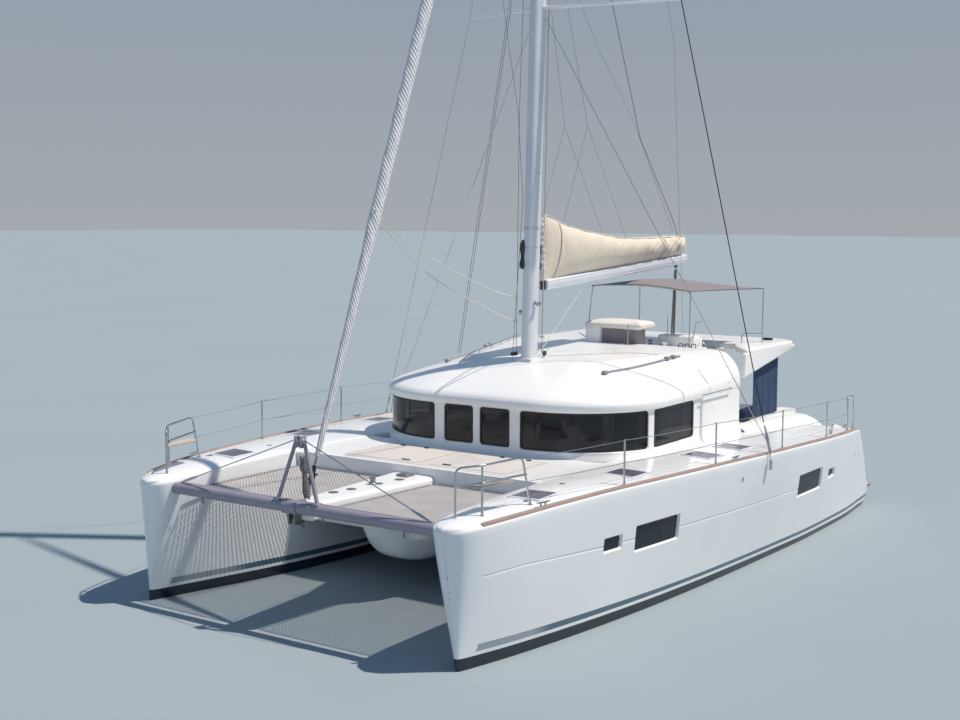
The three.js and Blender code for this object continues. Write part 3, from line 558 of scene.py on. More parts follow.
def deck_v(y, x):
    """Where a distance from the centreline lies on the deck: 3 at its outer edge, 4 at its inner one."""
    out, inner, _, _, _, _, _, _, _, _, gunwale, edge = hull_rows(y)
    outboard = 0.35 * (out - gunwale - x) / (out - gunwale - edge)
    inboard = 0.4 + 0.6 * (edge - x) / (edge - inner - gunwale)
    return 3 + np.where(x > edge, outboard, inboard)


def hull_point(y, v, depth):
    """A point of the port hull's skin, `depth` inside it. v runs round the section: 0 keel, 1 outer bilge, 2
    and 3 the outer gunwale's round, 4 and 5 the inner one's, 6 inner bilge, 7 keel. The bottom is half an
    ellipse, a side flares out with the 1.3th power of its height, and the deck is arched by a sine."""
    y, v, depth = np.broadcast_arrays(np.asarray(y, float), np.asarray(v, float), np.asarray(depth, float))
    out, inner, sheer, bilge_out, bilge_in, bilge, keel, lean, well, line, r, edge = hull_rows(y)
    middle, half = (bilge_out + bilge_in) / 2, (bilge_out - bilge_in) / 2
    part = v - np.floor(np.minimum(v, 6.9999))
    quarter = part * np.pi / 2
    low = np.where(part < MOULD_SHARE, bilge + (line - bilge) * part / MOULD_SHARE,
                   line + (sheer - r - line) * (part - MOULD_SHARE) / (1 - MOULD_SHARE))
    drop = np.clip((sheer - low) / (sheer - bilge), 0, 1) ** 1.3
    side_x = out + (bilge_out - out) * drop
    top_x = out + (bilge_out - out) * (r / (sheer - bilge)) ** 1.3
    on_rail = part < 0.35
    over = np.where(on_rail, part / 0.35, np.clip((part - 0.4) / 0.6, 0, 1))
    rail_x = top_x - r + (edge - top_x + r) * over
    well_x = edge - 0.004 + (inner + r - edge + 0.004) * over
    lip = (part >= 0.35) & (part < 0.4)
    deck_x = np.where(on_rail, rail_x, np.where(lip, edge - 0.08 * (part - 0.35), well_x))
    arch = 0.04 * np.sin(np.pi * np.clip((out - deck_x) / (out - inner), 0, 1)) * (well >= sheer - 1e-6)
    lip_z = sheer + (well - sheer) * (part - 0.35) / 0.05
    top_z = np.where(on_rail, sheer, np.where(lip, lip_z, well)) + arch
    in_z = well - r - (well - r - bilge) * part
    in_drop = np.clip((sheer - in_z) / (sheer - bilge), 0, 1) ** 1.3
    in_x = inner + (bilge_in - inner) * in_drop
    in_top = inner + (bilge_in - inner) * np.clip((sheer - well + r) / (sheer - bilge), 0, 1) ** 1.3
    spans = [
        (v < 1, middle + half * np.sin(quarter), bilge - (bilge - keel) * np.cos(quarter), (0, 1)),
        (v < 2, side_x, low, (-1, 0)),
        (v < 3, top_x - r + r * np.cos(quarter), sheer - r + r * np.sin(quarter), (-1, 0)),
        (v < 4, deck_x, top_z, (0, -1)),
        (v < 5, in_top + (inner + r - in_top) * (1 - np.sin(quarter)), well - r + r * np.cos(quarter),
         (1, 0)),
        (v < 6, in_x, in_z, (1, 0)),
        (v >= 6, middle - half * np.cos(quarter), bilge - (bilge - keel) * np.sin(quarter), (0, 1)),
    ]
    x = np.select([span[0] for span in spans], [span[1] + depth * span[3][0] for span in spans])
    z = np.select([span[0] for span in spans], [span[2] + depth * span[3][1] for span in spans])
    groove = 0.008 * np.clip(1 - np.abs(v - 1 - MOULD_SHARE) / 0.0075, 0, 1) * ((y > -6.0) & (y < 3.25))
    return np.stack([x - groove, y - lean * np.maximum(z, keel) / STEM_HEIGHT, z], -1)


HULL_WINDOWS = [
    # name, y from, y to, z from, z to
    ("fore_small", -3.85, -3.47, 1.00, 1.185),
    ("fore_large", -3.155, -2.11, 0.885, 1.235),
    ("aft_large", 1.76, 2.76, 0.83, 1.18),
    ("aft_small", 3.12, 3.44, 0.93, 1.07),
]
HATCHES = [
    # name, x, y
    ("fore", 2.62, -4.65),
    ("second", 2.90, -2.70),
    ("third", 3.08, -0.65),
    ("aft", 3.08, 0.48),
]
HATCH_HALF = 0.25
WINDOW_DEPTH = 0.035


def hull():
    """The port hull: its section carried from stem to stern, with window recesses and hatch openings."""
    stations = np.concatenate([-6.31 + 0.4 * np.linspace(0, 1, 14) ** 1.7, np.arange(-5.86, 5.0, 0.07),
                               np.arange(5.0, 6.24, 0.03), np.linspace(6.24, 6.30, 5)])
    risers = np.array([[start, start + 0.004] for start, _ in TREADS]).ravel()
    mould = 1 + MOULD_SHARE + np.array([-0.015, -0.0075, 0, 0.0075, 0.015])
    around = np.concatenate([np.linspace(0, 1, 9), np.linspace(1, 2, 22), mould, np.linspace(2, 3, 6),
                             np.linspace(3, 3.35, 7), np.linspace(3.4, 4, 14), np.linspace(4, 5, 5),
                             np.linspace(5, 6, 9), np.linspace(6, 7, 9)])
    openings = []
    for _, y0, y1, z0, z1 in HULL_WINDOWS:
        centre, half = ((y0 + y1) / 2, (z0 + z1) / 2), np.array([(y1 - y0) / 2, (z1 - z0) / 2])
        reveal = [(-0.012, 0.0), (-0.008, 0.003), (0.008, WINDOW_DEPTH - 0.006), (0.01, WINDOW_DEPTH + 0.004)]
        openings.append((centre, half, 0.03, reveal, lambda y, z: (y, topside_v(y, z))))
    for _, x, y in HATCHES:
        half = np.array([HATCH_HALF + 0.006, -HATCH_HALF - 0.006])
        reveal = [(-0.004, 0.0), (0.0, 0.004), (0.0, 0.03), (0.05, 0.03), (0.05, 0.09)]
        openings.append(((y, x), half, 0.04, reveal, lambda y, x: (y, deck_v(y, x))))
    skin = panel(hull_point, np.concatenate([stations, risers]), around, openings, margin=0.025)
    rings = [hull_point(y, around, 0.0) for y in (-6.31, 6.30)]
    ends = [grid(np.stack([ring, np.broadcast_to(ring.mean(0), ring.shape)])) for ring in rings]
    return together(skin, *ends)


hull_shape = hull()
pair("hull_shell", hull_shape, hull_gelcoat, replaces=["hull_{}"], crease=32)


def hull_glass(y0, y1, z0, z1):
    """A pane behind a window's recess, following the side, a little larger than the opening."""
    y = np.linspace(y0 - 0.02, y1 + 0.02, 12)[:, None]
    z = np.linspace(z0 - 0.02, z1 + 0.02, 6)[None, :]
    y, z = np.broadcast_arrays(y, z)
    return grid(hull_point(y, topside_v(y, z), WINDOW_DEPTH))


panes = together(*[hull_glass(*window[1:]) for window in HULL_WINDOWS])
pair("hull_windows", panes, hull_smoke)


def deck_z(x, y):
    """The height of the side deck."""
    return hull_point(y, deck_v(y, x), 0.0)[..., 2]


def toe_rail():
    """The toe rail along the deck's edge: a flat bar 7 cm wide, laid over the gunwale's round."""
    y = np.linspace(-6.0, 5.02, 190)
    edge = hull_point(y, 3.0, 0.0)
    section = np.array([[-0.034, -0.05], [-0.034, 0.004], [-0.026, 0.014], [0.024, 0.018], [0.033, 0.010],
                        [0.036, -0.05], [-0.034, -0.05]])
    taper = np.clip((y + 6.0) / 0.05, 0.2, 1)[:, None]
    x = edge[:, None, 0] + section[None, :, 0]
    z = edge[:, None, 2] + section[None, :, 1] * taper
    return grid(np.stack([x, np.broadcast_to(edge[:, None, 1], x.shape), z], -1), caps=True)


pair("toe_rail", toe_rail(), rub_strip, crease=60)


def platform_strip():
    """The rubbing strip round the swim platform's outer and after edge."""
    y = np.concatenate([np.linspace(5.97, 6.2, 10), np.linspace(6.22, 6.298, 6)])
    side = hull_point(y, 1.8, 0.0)
    after = np.array([[x, side[-1, 1] + 0.004, side[-1, 2] - 0.01] for x in np.linspace(3.2, 2.2, 12)])
    return tube(np.concatenate([side, after]), 0.026, 8)


pair("platform_strip", platform_strip(), rub_strip)

# Hatches in the hulls' decks


def hatch_lid(x, y):
    """A flush hatch: an aluminium frame round a smoked pane, both following the deck's height and slope."""
    z = float(deck_z(x, y)) + 0.004
    middle = np.array([x, y])
    corners = middle + HATCH_HALF * np.array([[-1, -1], [1, -1], [1, 1], [-1, 1]])
    frame_edge = bent(corners, 0.04, 5, True)
    tilt = deck_z(frame_edge[:, 0], frame_edge[:, 1]) - deck_z(x, y)
    rings = []
    for share, rise in ((1.0, -0.03), (1.0, 0.004), (0.985, 0.008), (0.87, 0.008), (0.862, 0.002)):
        edge = middle + (frame_edge - middle) * share
        rings.append(np.column_stack([edge, z + tilt * share + rise]))
    rim = np.stack(rings)
    heart = np.column_stack([middle + (frame_edge - middle) * 0.03, z + tilt * 0.03 + 0.004])
    pane = np.stack([rings[-1] + [0, 0, 0.001], heart])
    return grid(np.concatenate([rim, rim[:, :1]], 1)), grid(np.concatenate([pane, pane[:, :1]], 1), caps=True)


for name, x, y in HATCHES:
    rim, pane = hatch_lid(x, y)
    lid = f"deck_hatch_{name}_{{}}"
    pair(f"hatch_rim_{name}", rim, anodised, body=lid, replaces=[lid])
    # Each pane's lighter colour is a painted sky reflection
    pair(f"hatch_pane_{name}", pane, hatch_acrylic_painted_reflection, body=lid, replaces=[lid])
    deck = float(deck_z(x, y))
    # A black plate under each hatch: painted shade for the dark cabin below the pane
    painted_shade_below = block([x - 0.24, y - 0.24, deck - 0.11], [x + 0.24, y + 0.24, deck - 0.07])
    pair(f"hatch_well_{name}", painted_shade_below, black_plastic)

# Deckhouse

HOUSE_HALF, HOUSE_FRONT, HOUSE_AFT, HOUSE_RADIUS, HOUSE_AFT_RADIUS = 2.40, -2.12, 2.42, 1.50, 0.35
SILL, HEAD = 1.885, 2.46
WALL_FOOT, WALL_TOP = 1.66, 2.50
WINDOWS = [
    # name, from and to along the wall from the centreline
    ("front", 0.065, 0.60),
    ("corner", 0.79, 2.885),
    ("side", 3.033, 4.355),
]


def house_line(s, out=0.0):
    """A place on the deckhouse's outline, s metres round from the centreline at the front, grown by `out`: a
    straight front, a quarter circle and a straight side."""
    s, out = np.broadcast_arrays(np.asarray(s, float), np.asarray(out, float))
    straight = HOUSE_HALF - HOUSE_RADIUS
    arc = HOUSE_RADIUS * np.pi / 2
    angle = np.clip((s - straight) / HOUSE_RADIUS, 0, np.pi / 2)
    x = np.minimum(s, straight) + (HOUSE_RADIUS + out) * np.sin(angle)
    y = HOUSE_FRONT + HOUSE_RADIUS - (HOUSE_RADIUS + out) * np.cos(angle) + np.maximum(s - straight - arc, 0)
    return x, y


def cove(z):
    """How far the wall's foot flares out at a height: by the square of the way down its last 10 cm."""
    return 0.05 * np.clip((1.86 - z) / 0.10, 0, 1) ** 2


def wall_point(s, z, depth):
    """A point of the wall's outer face, `depth` inside it."""
    x, y = house_line(s, cove(z) - depth)
    return np.stack(np.broadcast_arrays(x, y, z), -1)


def walls():
    """The wall round the port half of the deckhouse, with its three window recesses."""
    round_it = np.concatenate([np.linspace(0.0, 0.9, 7), np.linspace(0.9, 3.256, 30),
                               np.linspace(3.256, 5.9, 13)])
    up = np.concatenate([np.linspace(WALL_FOOT, 1.86, 6), [SILL - 0.02, HEAD + 0.02, WALL_TOP]])
    openings = []
    for _, start, end in WINDOWS:
        centre = (start + end) / 2, (SILL + HEAD) / 2
        half = np.array([(end - start) / 2, (HEAD - SILL) / 2])
        reveal = [(-0.012, 0.0), (-0.008, 0.004), (0.0, 0.012), (0.0, 0.03)]
        openings.append((centre, half, 0.045, reveal, same))
    return panel(wall_point, round_it, up, openings, margin=0.02)


wall_shape = walls()
pair("deckhouse_wall", wall_shape, deck_gelcoat, replaces=["deckhouse_walls"], crease=50)


def wall_pane(start, end):
    """A pane 18 mm inside an opening of the wall, following its curve."""
    s = np.linspace(start, end, 40)[:, None]
    z = np.linspace(SILL, HEAD, 6)[None, :]
    return grid(wall_point(*np.broadcast_arrays(s, z), 0.018))


def seal(start, end):
    """The black rubber between a pane and its recess: a round bead along the opening's edge."""
    half = np.array([(end - start) / 2, (HEAD - SILL) / 2])
    t = np.linspace(-1, 1, 30)[:-1]
    square = np.concatenate([np.stack([t, 0 * t - 1], -1), np.stack([0 * t + 1, t], -1),
                             np.stack([-t, 0 * t + 1], -1), np.stack([0 * t - 1, -t], -1)])
    centre = np.array([(start + end) / 2, (SILL + HEAD) / 2])
    edge = centre + rounded(square, half - 0.004, 0.045)
    inner = centre + rounded(square, half - 0.026, 0.03)
    rings = np.stack([wall_point(*ring.T, depth) for ring, depth in
                      ((edge, 0.012), (edge, 0.006), (inner, 0.006), (inner, 0.024))])
    return grid(np.concatenate([rings, rings[:, :1]], 1))


for name, start, end in WINDOWS:
    pair(f"window_pane_{name}", wall_pane(start, end), smoked, replaces=[f"window_{name}_{{}}"])
pair("window_seals", together(*[seal(start, end) for _, start, end in WINDOWS]), black_plastic)


CURTAINS = [
    # from and to along the wall
    (0.83, 0.98), (2.10, 2.30), (2.78, 2.88), (3.04, 3.10), (4.20, 4.35),
]


def blind(start, end):
    """A curtain 10 cm inside a window, gathered in folds that follow the sum of two sines."""
    s = np.linspace(start, end, int((end - start) * 130) + 4)[:, None]
    z = np.linspace(SILL, HEAD, 4)[None, :]
    s, z = np.broadcast_arrays(s, z)
    return grid(wall_point(s, z, 0.10 + 0.018 * np.sin(s * 60.0) + 0.006 * np.sin(s * 23)))


pair("window_curtains", together(*[blind(*span) for span in CURTAINS]), curtain_cloth)


def liner():
    """A white ledge below the windows inside, seen through the panes, and the lining above them."""
    s = np.linspace(0, 5.9, 90)[:, None]
    rows = np.array([[0.05, 1.70], [0.05, SILL - 0.02], [0.40, SILL - 0.03], [0.42, SILL - 0.15]])
    top = np.array([[0.05, WALL_TOP], [0.05, HEAD + 0.03], [0.16, HEAD + 0.06]])
    shapes = []
    for table in (rows, top):
        ring = [wall_point(s[:, 0], np.full(len(s), z), depth) for depth, z in table]
        shapes.append(grid(np.stack(ring)))
    return together(*shapes)


pair("deckhouse_lining", liner(), seat_cloth, crease=60)


def raised_panel():
    """The panel aft of the side window, 4 cm proud of the wall, its forward edge rounded and its after corner
    turned into the cockpit by a quarter circle."""
    z = np.concatenate([np.linspace(1.66, 1.78, 3), np.linspace(1.85, 2.52, 8)])
    turn = np.linspace(0, np.pi / 2, 9)
    x = np.concatenate([[2.38, 2.42, 2.434, 2.438], 2.09 + 0.348 * np.cos(turn), [1.6]])
    y = np.concatenate([[0.715, 0.72, 0.735, 0.77], 2.10 + 0.348 * np.sin(turn), [2.448]])
    rows = [np.stack([px + cove(z) * (px > 2.40), np.full(len(z), py), z], -1) for px, py in zip(x, y)]
    return grid(np.stack(rows))


pair("deckhouse_panel", raised_panel(), deck_gelcoat, crease=60)

ROOF = np.array([
    # inwards at the sides aft, inwards at the nose, inwards at the after end, height
    [0.10, 0.10, 0.05, 2.475],
    [0.02, 0.02, -0.02, 2.468],
    [-0.03, -0.03, -0.05, 2.474],
    [-0.045, -0.045, -0.065, 2.50],
    [-0.050, -0.050, -0.070, 2.56],
    [-0.048, -0.01, -0.070, 2.63],
    [-0.04, 0.12, -0.065, 2.70],
    [-0.01, 0.40, -0.055, 2.79],
    [0.05, 0.70, -0.03, 2.875],
    [0.13, 1.00, 0.02, 2.95],
    [0.25, 1.25, 0.12, 3.02],
    [0.45, 1.40, 0.30, 3.065],
])
ROOF_CROWN = np.array([
    # share of the last ring's size, height
    [1.0, 3.065], [0.9, 3.078], [0.70, 3.086], [0.50, 3.089], [0.25, 3.090], [0.0, 3.090],
])
ROOF_CENTRE = (0.0, 0.8)
ROOF_RISE = 0.025


def roof_ring(side, nose, aft):
    """The coachroof's outline, port side, drawn in by three measures: at the nose by `nose`, which fades
    along the side to `side` by a smooth step, and at the after end by `aft`."""
    turn = np.linspace(0, np.pi / 2, 26)
    straight = HOUSE_HALF - HOUSE_RADIUS
    back = HOUSE_AFT - HOUSE_AFT_RADIUS
    x = np.concatenate([np.linspace(0, straight, 10)[:-1], straight + HOUSE_RADIUS * np.sin(turn),
                        np.full(28, HOUSE_HALF)])
    y = np.concatenate([np.full(9, HOUSE_FRONT), HOUSE_FRONT + HOUSE_RADIUS * (1 - np.cos(turn)),
                        np.linspace(HOUSE_FRONT + HOUSE_RADIUS, back, 30)[1:-1]])
    out = np.stack([np.concatenate([np.zeros(9), np.sin(turn), np.ones(28)]),
                    np.concatenate([-np.ones(9), -np.cos(turn), np.zeros(28)])], -1)
    t = np.clip((y + 1.6) / 4.2, 0, 1)
    depth = side + (nose - side) * (1 - t * t * (3 - 2 * t))
    first = np.stack([x, y], -1) - out * depth[:, None]
    t = (back + 1.6) / 4.2
    last = side + (nose - side) * (1 - t * t * (3 - 2 * t))
    wide, deep = max(HOUSE_AFT_RADIUS - last, 0.15), max(HOUSE_AFT_RADIUS - aft, 0.15)
    corner = np.stack([HOUSE_HALF - last - wide + wide * np.cos(turn),
                       HOUSE_AFT - aft - deep + deep * np.sin(turn)], -1)
    behind = np.linspace(corner[-1, 0], 0, 14)[1:]
    return np.concatenate([first, corner, np.stack([behind, 0 * behind + corner[-1, 1]], -1)])


def roof():
    """The port half of the coachroof: drawn-in rings round its edge, then shrinking ones up to the crown, all
    tilted up a little towards the stern."""
    step = np.arange(len(ROOF))
    rings = [np.column_stack([roof_ring(*row[:3]), np.full(len(roof_ring(*row[:3])), row[3])])
             for row in through(step, ROOF, np.linspace(0, step[-1], 48))]
    share = np.linspace(1, 0, 26)[1:]
    crown = through(ROOF_CROWN[::-1, 0], ROOF_CROWN[::-1, 1:], share)[:, 0]
    outer = rings[-1][:, :2] - ROOF_CENTRE
    rings += [np.column_stack([ROOF_CENTRE + outer * k, np.full(len(outer), z)])
              for k, z in zip(share, crown)]
    points = np.stack(rings)
    tilt = ROOF_RISE * np.maximum(points[..., 1] + 0.3, 0) * np.clip((points[..., 2] - 2.6) / 0.4, 0, 1)
    return grid(points + tilt[..., None] * [0, 0, 1])


roof_shape = together(roof(), mirrored(roof()))
piece("coachroof_skin", roof_shape, deck_gelcoat, replaces=["coachroof"], crease=50)


def tree_of(shape):
    """A search tree over a shape's faces."""
    return BVHTree.FromPolygons(np.asarray(shape[0], float).tolist(), shape[1])


def cast(tree, starts, way, lift=0.0):
    """Where rays from the starts hit a shape, lifted back a little; a ray that misses keeps its start."""
    way = Vector(way)
    hits = [tree.ray_cast(Vector(start), way)[0] for start in np.asarray(starts, float).tolist()]
    return np.array([(hit if hit else Vector(start)) - way * lift for hit, start in zip(hits, starts)])


roof_tree = tree_of(roof_shape)


def on_roof(places, lift=0.0):
    """Points of the coachroof's top over places in plan."""
    places = np.asarray(places, float)
    return cast(roof_tree, np.column_stack([places, np.full(len(places), 4.0)]), (0, 0, -1), lift)


def along(a, b, count):
    """Evenly spaced places from a to b."""
    return np.linspace(np.asarray(a, float), np.asarray(b, float), count)


# Foredeck and the underside between the hulls


def foredeck():
    """The bridge of deck between the hulls before the deckhouse: a flat plate whose forward edge is rolled
    down and whose ends rise a little where it runs out over both hulls' decks."""
    x = np.concatenate([np.linspace(-2.32, -1.48, 8), np.linspace(-1.445, 1.445, 30),
                        np.linspace(1.48, 2.32, 8)])
    reach = np.abs(x)
    bow = -3.70 - 0.16 * np.clip((reach - 1.95) / 0.37, 0, 1) ** 2
    ends = 0.022 * np.clip((reach - 2.0) / 0.3, 0, 1)
    profile = [(0.10, -0.36), (0.05, -0.20), (0.012, -0.07), (0.0, -0.045), (0.008, -0.018), (0.035, -0.002),
               (0.07, 0.0)]
    rows = [np.stack([x, bow + behind, 1.782 + rise + ends], -1) for behind, rise in profile]
    rows += [np.stack([x, np.full(len(x), y), 1.782 + ends], -1) for y in np.linspace(-3.50, -1.98, 14)]
    return grid(np.stack(rows))


piece("foredeck_skin", foredeck(), deck_gelcoat, crease=60)
grip = bent([[-1.42, -3.60], [1.62, -3.60], [1.50, -2.38], [-1.42, -2.38]], 0.06, 5, True)
piece("foredeck_grip", slab(grip, 1.776, 1.7865, 0.003), nonskid)
# The port locker lid: x from and to, y from and to
LID = (0.11, 1.44, -3.48, -2.42)
lid_body = "foredeck_locker_{}"


def lid_plate(spare, z0, z1, edge):
    """A plate over the locker lid's outline, grown by `spare`."""
    x0, x1, y0, y1 = LID
    corners = [[x0 - spare, y0 - spare], [x1 + spare, y0 - spare], [x1 + spare, y1 + spare],
               [x0 - spare, y1 + spare]]
    return slab(bent(corners, 0.05, 5, True), z0, z1, edge)


pair("locker_seam", lid_plate(0.007, 1.776, 1.7875, 0.001), dark_canvas_and_painted_shade)
pair("locker_lid", lid_plate(0.0, 1.770, 1.790, 0.004), nonskid, body=lid_body, replaces=[lid_body])
pair("locker_latch", together(block([0.30, -3.42, 1.790], [0.44, -3.37, 1.800], 0.006),
                              block([0.66, -2.455, 1.790], [0.74, -2.425, 1.806], 0.006),
                              block([1.12, -2.455, 1.790], [1.20, -2.425, 1.806], 0.006)), black_plastic,
     body=lid_body)

NACELLE = np.array([
    # y, half width, bottom, top
    [-4.700, 0.07, 1.30, 1.42],
    [-4.690, 0.12, 1.18, 1.42],
    [-4.570, 0.27, 0.89, 1.42],
    [-4.260, 0.45, 0.59, 1.42],
    [-3.600, 0.59, 0.42, 1.42],
    [-2.400, 0.61, 0.39, 1.20],
    [-1.200, 0.49, 0.55, 1.00],
    [-0.280, 0.20, 0.77, 0.98],
])


def nacelle():
    """The rounded keel-like moulding under the deckhouse: half a superellipse of power 2.6 at every place."""
    y = np.linspace(-4.70, -0.28, 60)
    half, bottom, top = through(NACELLE[:, 0], NACELLE[:, 1:], y).T[:, :, None]
    angle = np.linspace(0, np.pi, 33)
    x = half * np.sign(np.cos(angle)) * np.abs(np.cos(angle)) ** (2 / 2.6)
    z = top - (top - bottom) * np.sin(angle) ** (2 / 2.6)
    return grid(np.stack(np.broadcast_arrays(x, y[:, None], z), -1), caps=True)


piece("nacelle_skin", nacelle(), deck_gelcoat)

# Forward beam, striker, walkway and nets

BEAM_Y, BEAM_Z, BEAM_R = -6.14, 1.612, 0.08
STRIKER_TOP = (0.0, -6.08, 2.50)
NET_Z = 1.566


def beam():
    """The beam's tube with a flat track along its top, a shoe under each leg of the striker and a saddle."""
    x = np.concatenate([[-2.40, -2.395], np.linspace(-2.38, 2.38, 30), [2.395, 2.40]])
    size = np.where(np.abs(x) > 2.39, BEAM_R - 0.012, BEAM_R)
    bar = tube(np.column_stack([x, 0 * x + BEAM_Y, 0 * x + BEAM_Z]), size, 28)
    track = block([-2.14, BEAM_Y + 0.02, BEAM_Z + 0.066], [2.14, BEAM_Y + 0.06, BEAM_Z + 0.084], 0.006)
    shoes = [block([side * 0.33 - 0.05, BEAM_Y - 0.055, BEAM_Z + 0.06],
                   [side * 0.33 + 0.05, BEAM_Y + 0.055, BEAM_Z + 0.098], 0.01) for side in (-1, 1)]
    saddle = turned([[0.07, -0.13], [0.096, -0.12], [0.096, 0.12], [0.07, 0.13]], [-0.10, BEAM_Y, BEAM_Z],
                    (1, 0, 0), 28)
    return together(bar, track, saddle, *shoes)


def striker():
    """The A-frame over the beam: two legs that bend together at the top, and the sheave box between them."""
    foot = np.array([0.33, BEAM_Y, BEAM_Z + 0.09])
    top = np.array(STRIKER_TOP)
    leg = tube(bent([foot, top + [0.075, 0, -0.05], top + [0.0, 0, 0.03]], 0.06), 0.026, 14)
    cheeks = [block(top + [x - 0.012, -0.06, -0.12], top + [x + 0.012, 0.06, 0.04], 0.01)
              for x in (-0.045, 0.045)]
    sheave = turned([[0.02, -0.03], [0.06, -0.03], [0.05, 0.0], [0.06, 0.03], [0.02, 0.03]],
                    top - [0, 0, 0.05], (1, 0, 0), 20)
    return together(leg, mirrored(leg), sheave, *cheeks)


piece("crossbeam_tube", beam(), dark_anodised, replaces=["crossbeam"])
piece("striker_frame", striker(), dark_anodised, replaces=["striker"])
stay = tube(along([-0.05, -6.08, 2.49], [-2.15, -6.14, 1.69], 20), 0.008, 8)
stay_end = tube(along([-1.83, -6.131, 1.81], [-2.13, -6.14, 1.698], 4), [0.012, 0.018, 0.018, 0.009], 8)
piece("striker_stays", together(stay, mirrored(stay), stay_end, mirrored(stay_end)), steel)


def walkway():
    """The longeron between the nets: a box section that widens aft, its corners rounded by a power of 7."""
    y = np.concatenate([[-6.05, -6.046], np.linspace(-6.03, -3.50, 30)])
    shrink = np.where(y < -6.048, 0.03, 0.0)
    half = 0.195 + 0.19 * np.clip((y + 6.03) / 2.33, 0, 1) - shrink
    angle = np.linspace(0, 2 * np.pi, 49)
    cos, sin = np.cos(angle), np.sin(angle)
    power = 2 / 7
    x = half[:, None] * np.sign(cos) * np.abs(cos) ** power * (1 - 0.04 * sin)
    z = 1.552 + (0.115 - shrink[:, None]) * np.sign(sin) * np.abs(sin) ** power
    return grid(np.stack(np.broadcast_arrays(x, y[:, None], z), -1), caps=True)


piece("longeron_skin", walkway(), deck_gelcoat, replaces=["longeron"], crease=50)


def net(corners, spacing, radius, z):
    """A net over a four-sided gap: two families of straight cords at 45 degrees, each clipped to the gap, the
    second a cord's thickness under the first."""
    corners = np.asarray(corners, float)
    edges = np.roll(corners, -1, 0) - corners
    inward = np.stack([-edges[:, 1], edges[:, 0]], -1)
    shapes = []
    for turn, drop in ((1, 0.0), (-1, radius)):
        way = unit(np.array([1.0, turn]))
        across = np.array([-way[1], way[0]])
        span = corners @ across
        for offset in np.arange(span.min() + spacing / 2, span.max(), spacing):
            start = across * offset
            rate, gap = inward @ way, ((corners - start) * inward).sum(1)
            meet = gap / np.where(np.abs(rate) < 1e-9, 1e-9, rate)
            first, last = meet[rate > 0].max(), meet[rate < 0].min()
            if last - first > spacing:
                ends = np.stack([start + way * first, start + way * last])
                shapes.append(tube(np.column_stack([ends, [z - drop] * 2]), radius, 5))
    return together(*shapes)


def laced(a, b, out, count, z):
    """A rope along a net's edge and the lacing that ties it in zigzags to the fittings beside it."""
    a, b, out = (np.array([*v, 0.0]) for v in (a, b, out))
    up = np.array([0, 0, z])
    rope = tube(along(a, b, 12) + up, 0.011, 8)
    t = np.linspace(0.02, 0.98, count)[:, None]
    swing = np.where(np.arange(count) % 2, 1.0, 0.0)[:, None]
    zigzag = tube(a * (1 - t) + b * t + out * swing + up + [0, 0, 0.01] * swing, 0.004, 5)
    return together(rope, zigzag)


NET = np.array([[0.27, -5.98], [2.13, -5.98], [2.11, -3.78], [0.43, -3.78]])
net_shape = net(NET, 0.040, 0.0062, NET_Z)
pair("net_cords", net_shape, net_cord, replaces=["trampoline_{}"])
LACINGS = [
    # from and to of the net's corners, reach of the zigzag, its turns
    (0, 1, (0, -0.07), 56),
    (1, 2, (0.05, 0), 64),
    (3, 2, (0, 0.07), 50),
    (0, 3, (-0.05, -0.004), 64),
]
lacing = together(*[laced(NET[a], NET[b], out, turns, NET_Z) for a, b, out, turns in LACINGS])
pair("net_lacing", lacing, grey_rope, replaces=["trampoline_{}"])
roller_guide = bent([[-0.20, -6.12, 1.50], [-0.14, -6.08, 1.41], [-0.06, -6.05, 1.37],
                     [0.0, -6.03, 1.34]], 0.03)
rollers = together(
    block([-0.15, -6.18, 1.38], [-0.12, -5.98, 1.56], 0.01),
    block([-0.05, -6.18, 1.38], [-0.02, -5.98, 1.56], 0.01),
    turned([[0.02, -0.045], [0.05, -0.04], [0.035, 0.0], [0.05, 0.04], [0.02, 0.045]], [-0.085, -6.08, 1.42],
           (1, 0, 0)),
    tube(roller_guide, 0.022, 8),
    *[tube([[x, BEAM_Y, 1.54], [x, BEAM_Y, 1.45]], 0.012, 8) for x in (-1.72, 0.42, 1.72)])
piece("bow_roller", rollers, galvanised)

# Forestay: the furled genoa and its drum

TACK_Y, TACK_Z, STAY_SLOPE = -5.93, 1.79, 0.3945


def stay_point(z):
    """A place on the forestay."""
    z = np.asarray(z, float)
    return np.stack([0 * z, TACK_Y + (z - TACK_Z) * STAY_SLOPE, z], -1)


def furled():
    """The genoa rolled on its stay: a spindle whose skin steps out where each turn of the leech winds round
    it, with creases that run along the twist."""
    z = np.concatenate([np.linspace(2.22, 9.4, 420), np.linspace(9.45, 15.5, 100)])[:, None]
    angle = np.linspace(0, 2 * np.pi, 33)[None, :]
    size = np.interp(z, [2.22, 2.30, 3.4, 4.8, 5.3, 5.7, 9.0, 14.5, 15.5],
                     [0.028, 0.036, 0.052, 0.068, 0.084, 0.080, 0.088, 0.055, 0.035])
    turn = (angle + z * 7.5) / (2 * np.pi)
    step = 0.08 * (turn % 1.0) - 0.04
    crease = (0.022 * np.sin(3 * angle + 21.0 * z + 0.8 * np.sin(2.3 * z))
              + 0.012 * np.sin(5 * angle - 17.0 * z))
    bands = 0.015 * np.sin(z * 26.0 + angle) * np.sin(z * 3.1)
    radius = size * (1 + step + crease + bands)
    ahead = unit(np.array([0, STAY_SLOPE, 1.0]))
    across = np.array([1.0, 0, 0])
    up = np.cross(ahead, across)
    ring = across * np.cos(angle)[..., None] + up * np.sin(angle)[..., None]
    points = stay_point(z[:, 0])[:, None] + radius[..., None] * ring
    shape = grid(points, caps=True)
    return shape[0], shape[1], np.stack(np.broadcast_arrays(z + 0 * angle, angle * 0.09), -1).reshape(-1, 2)


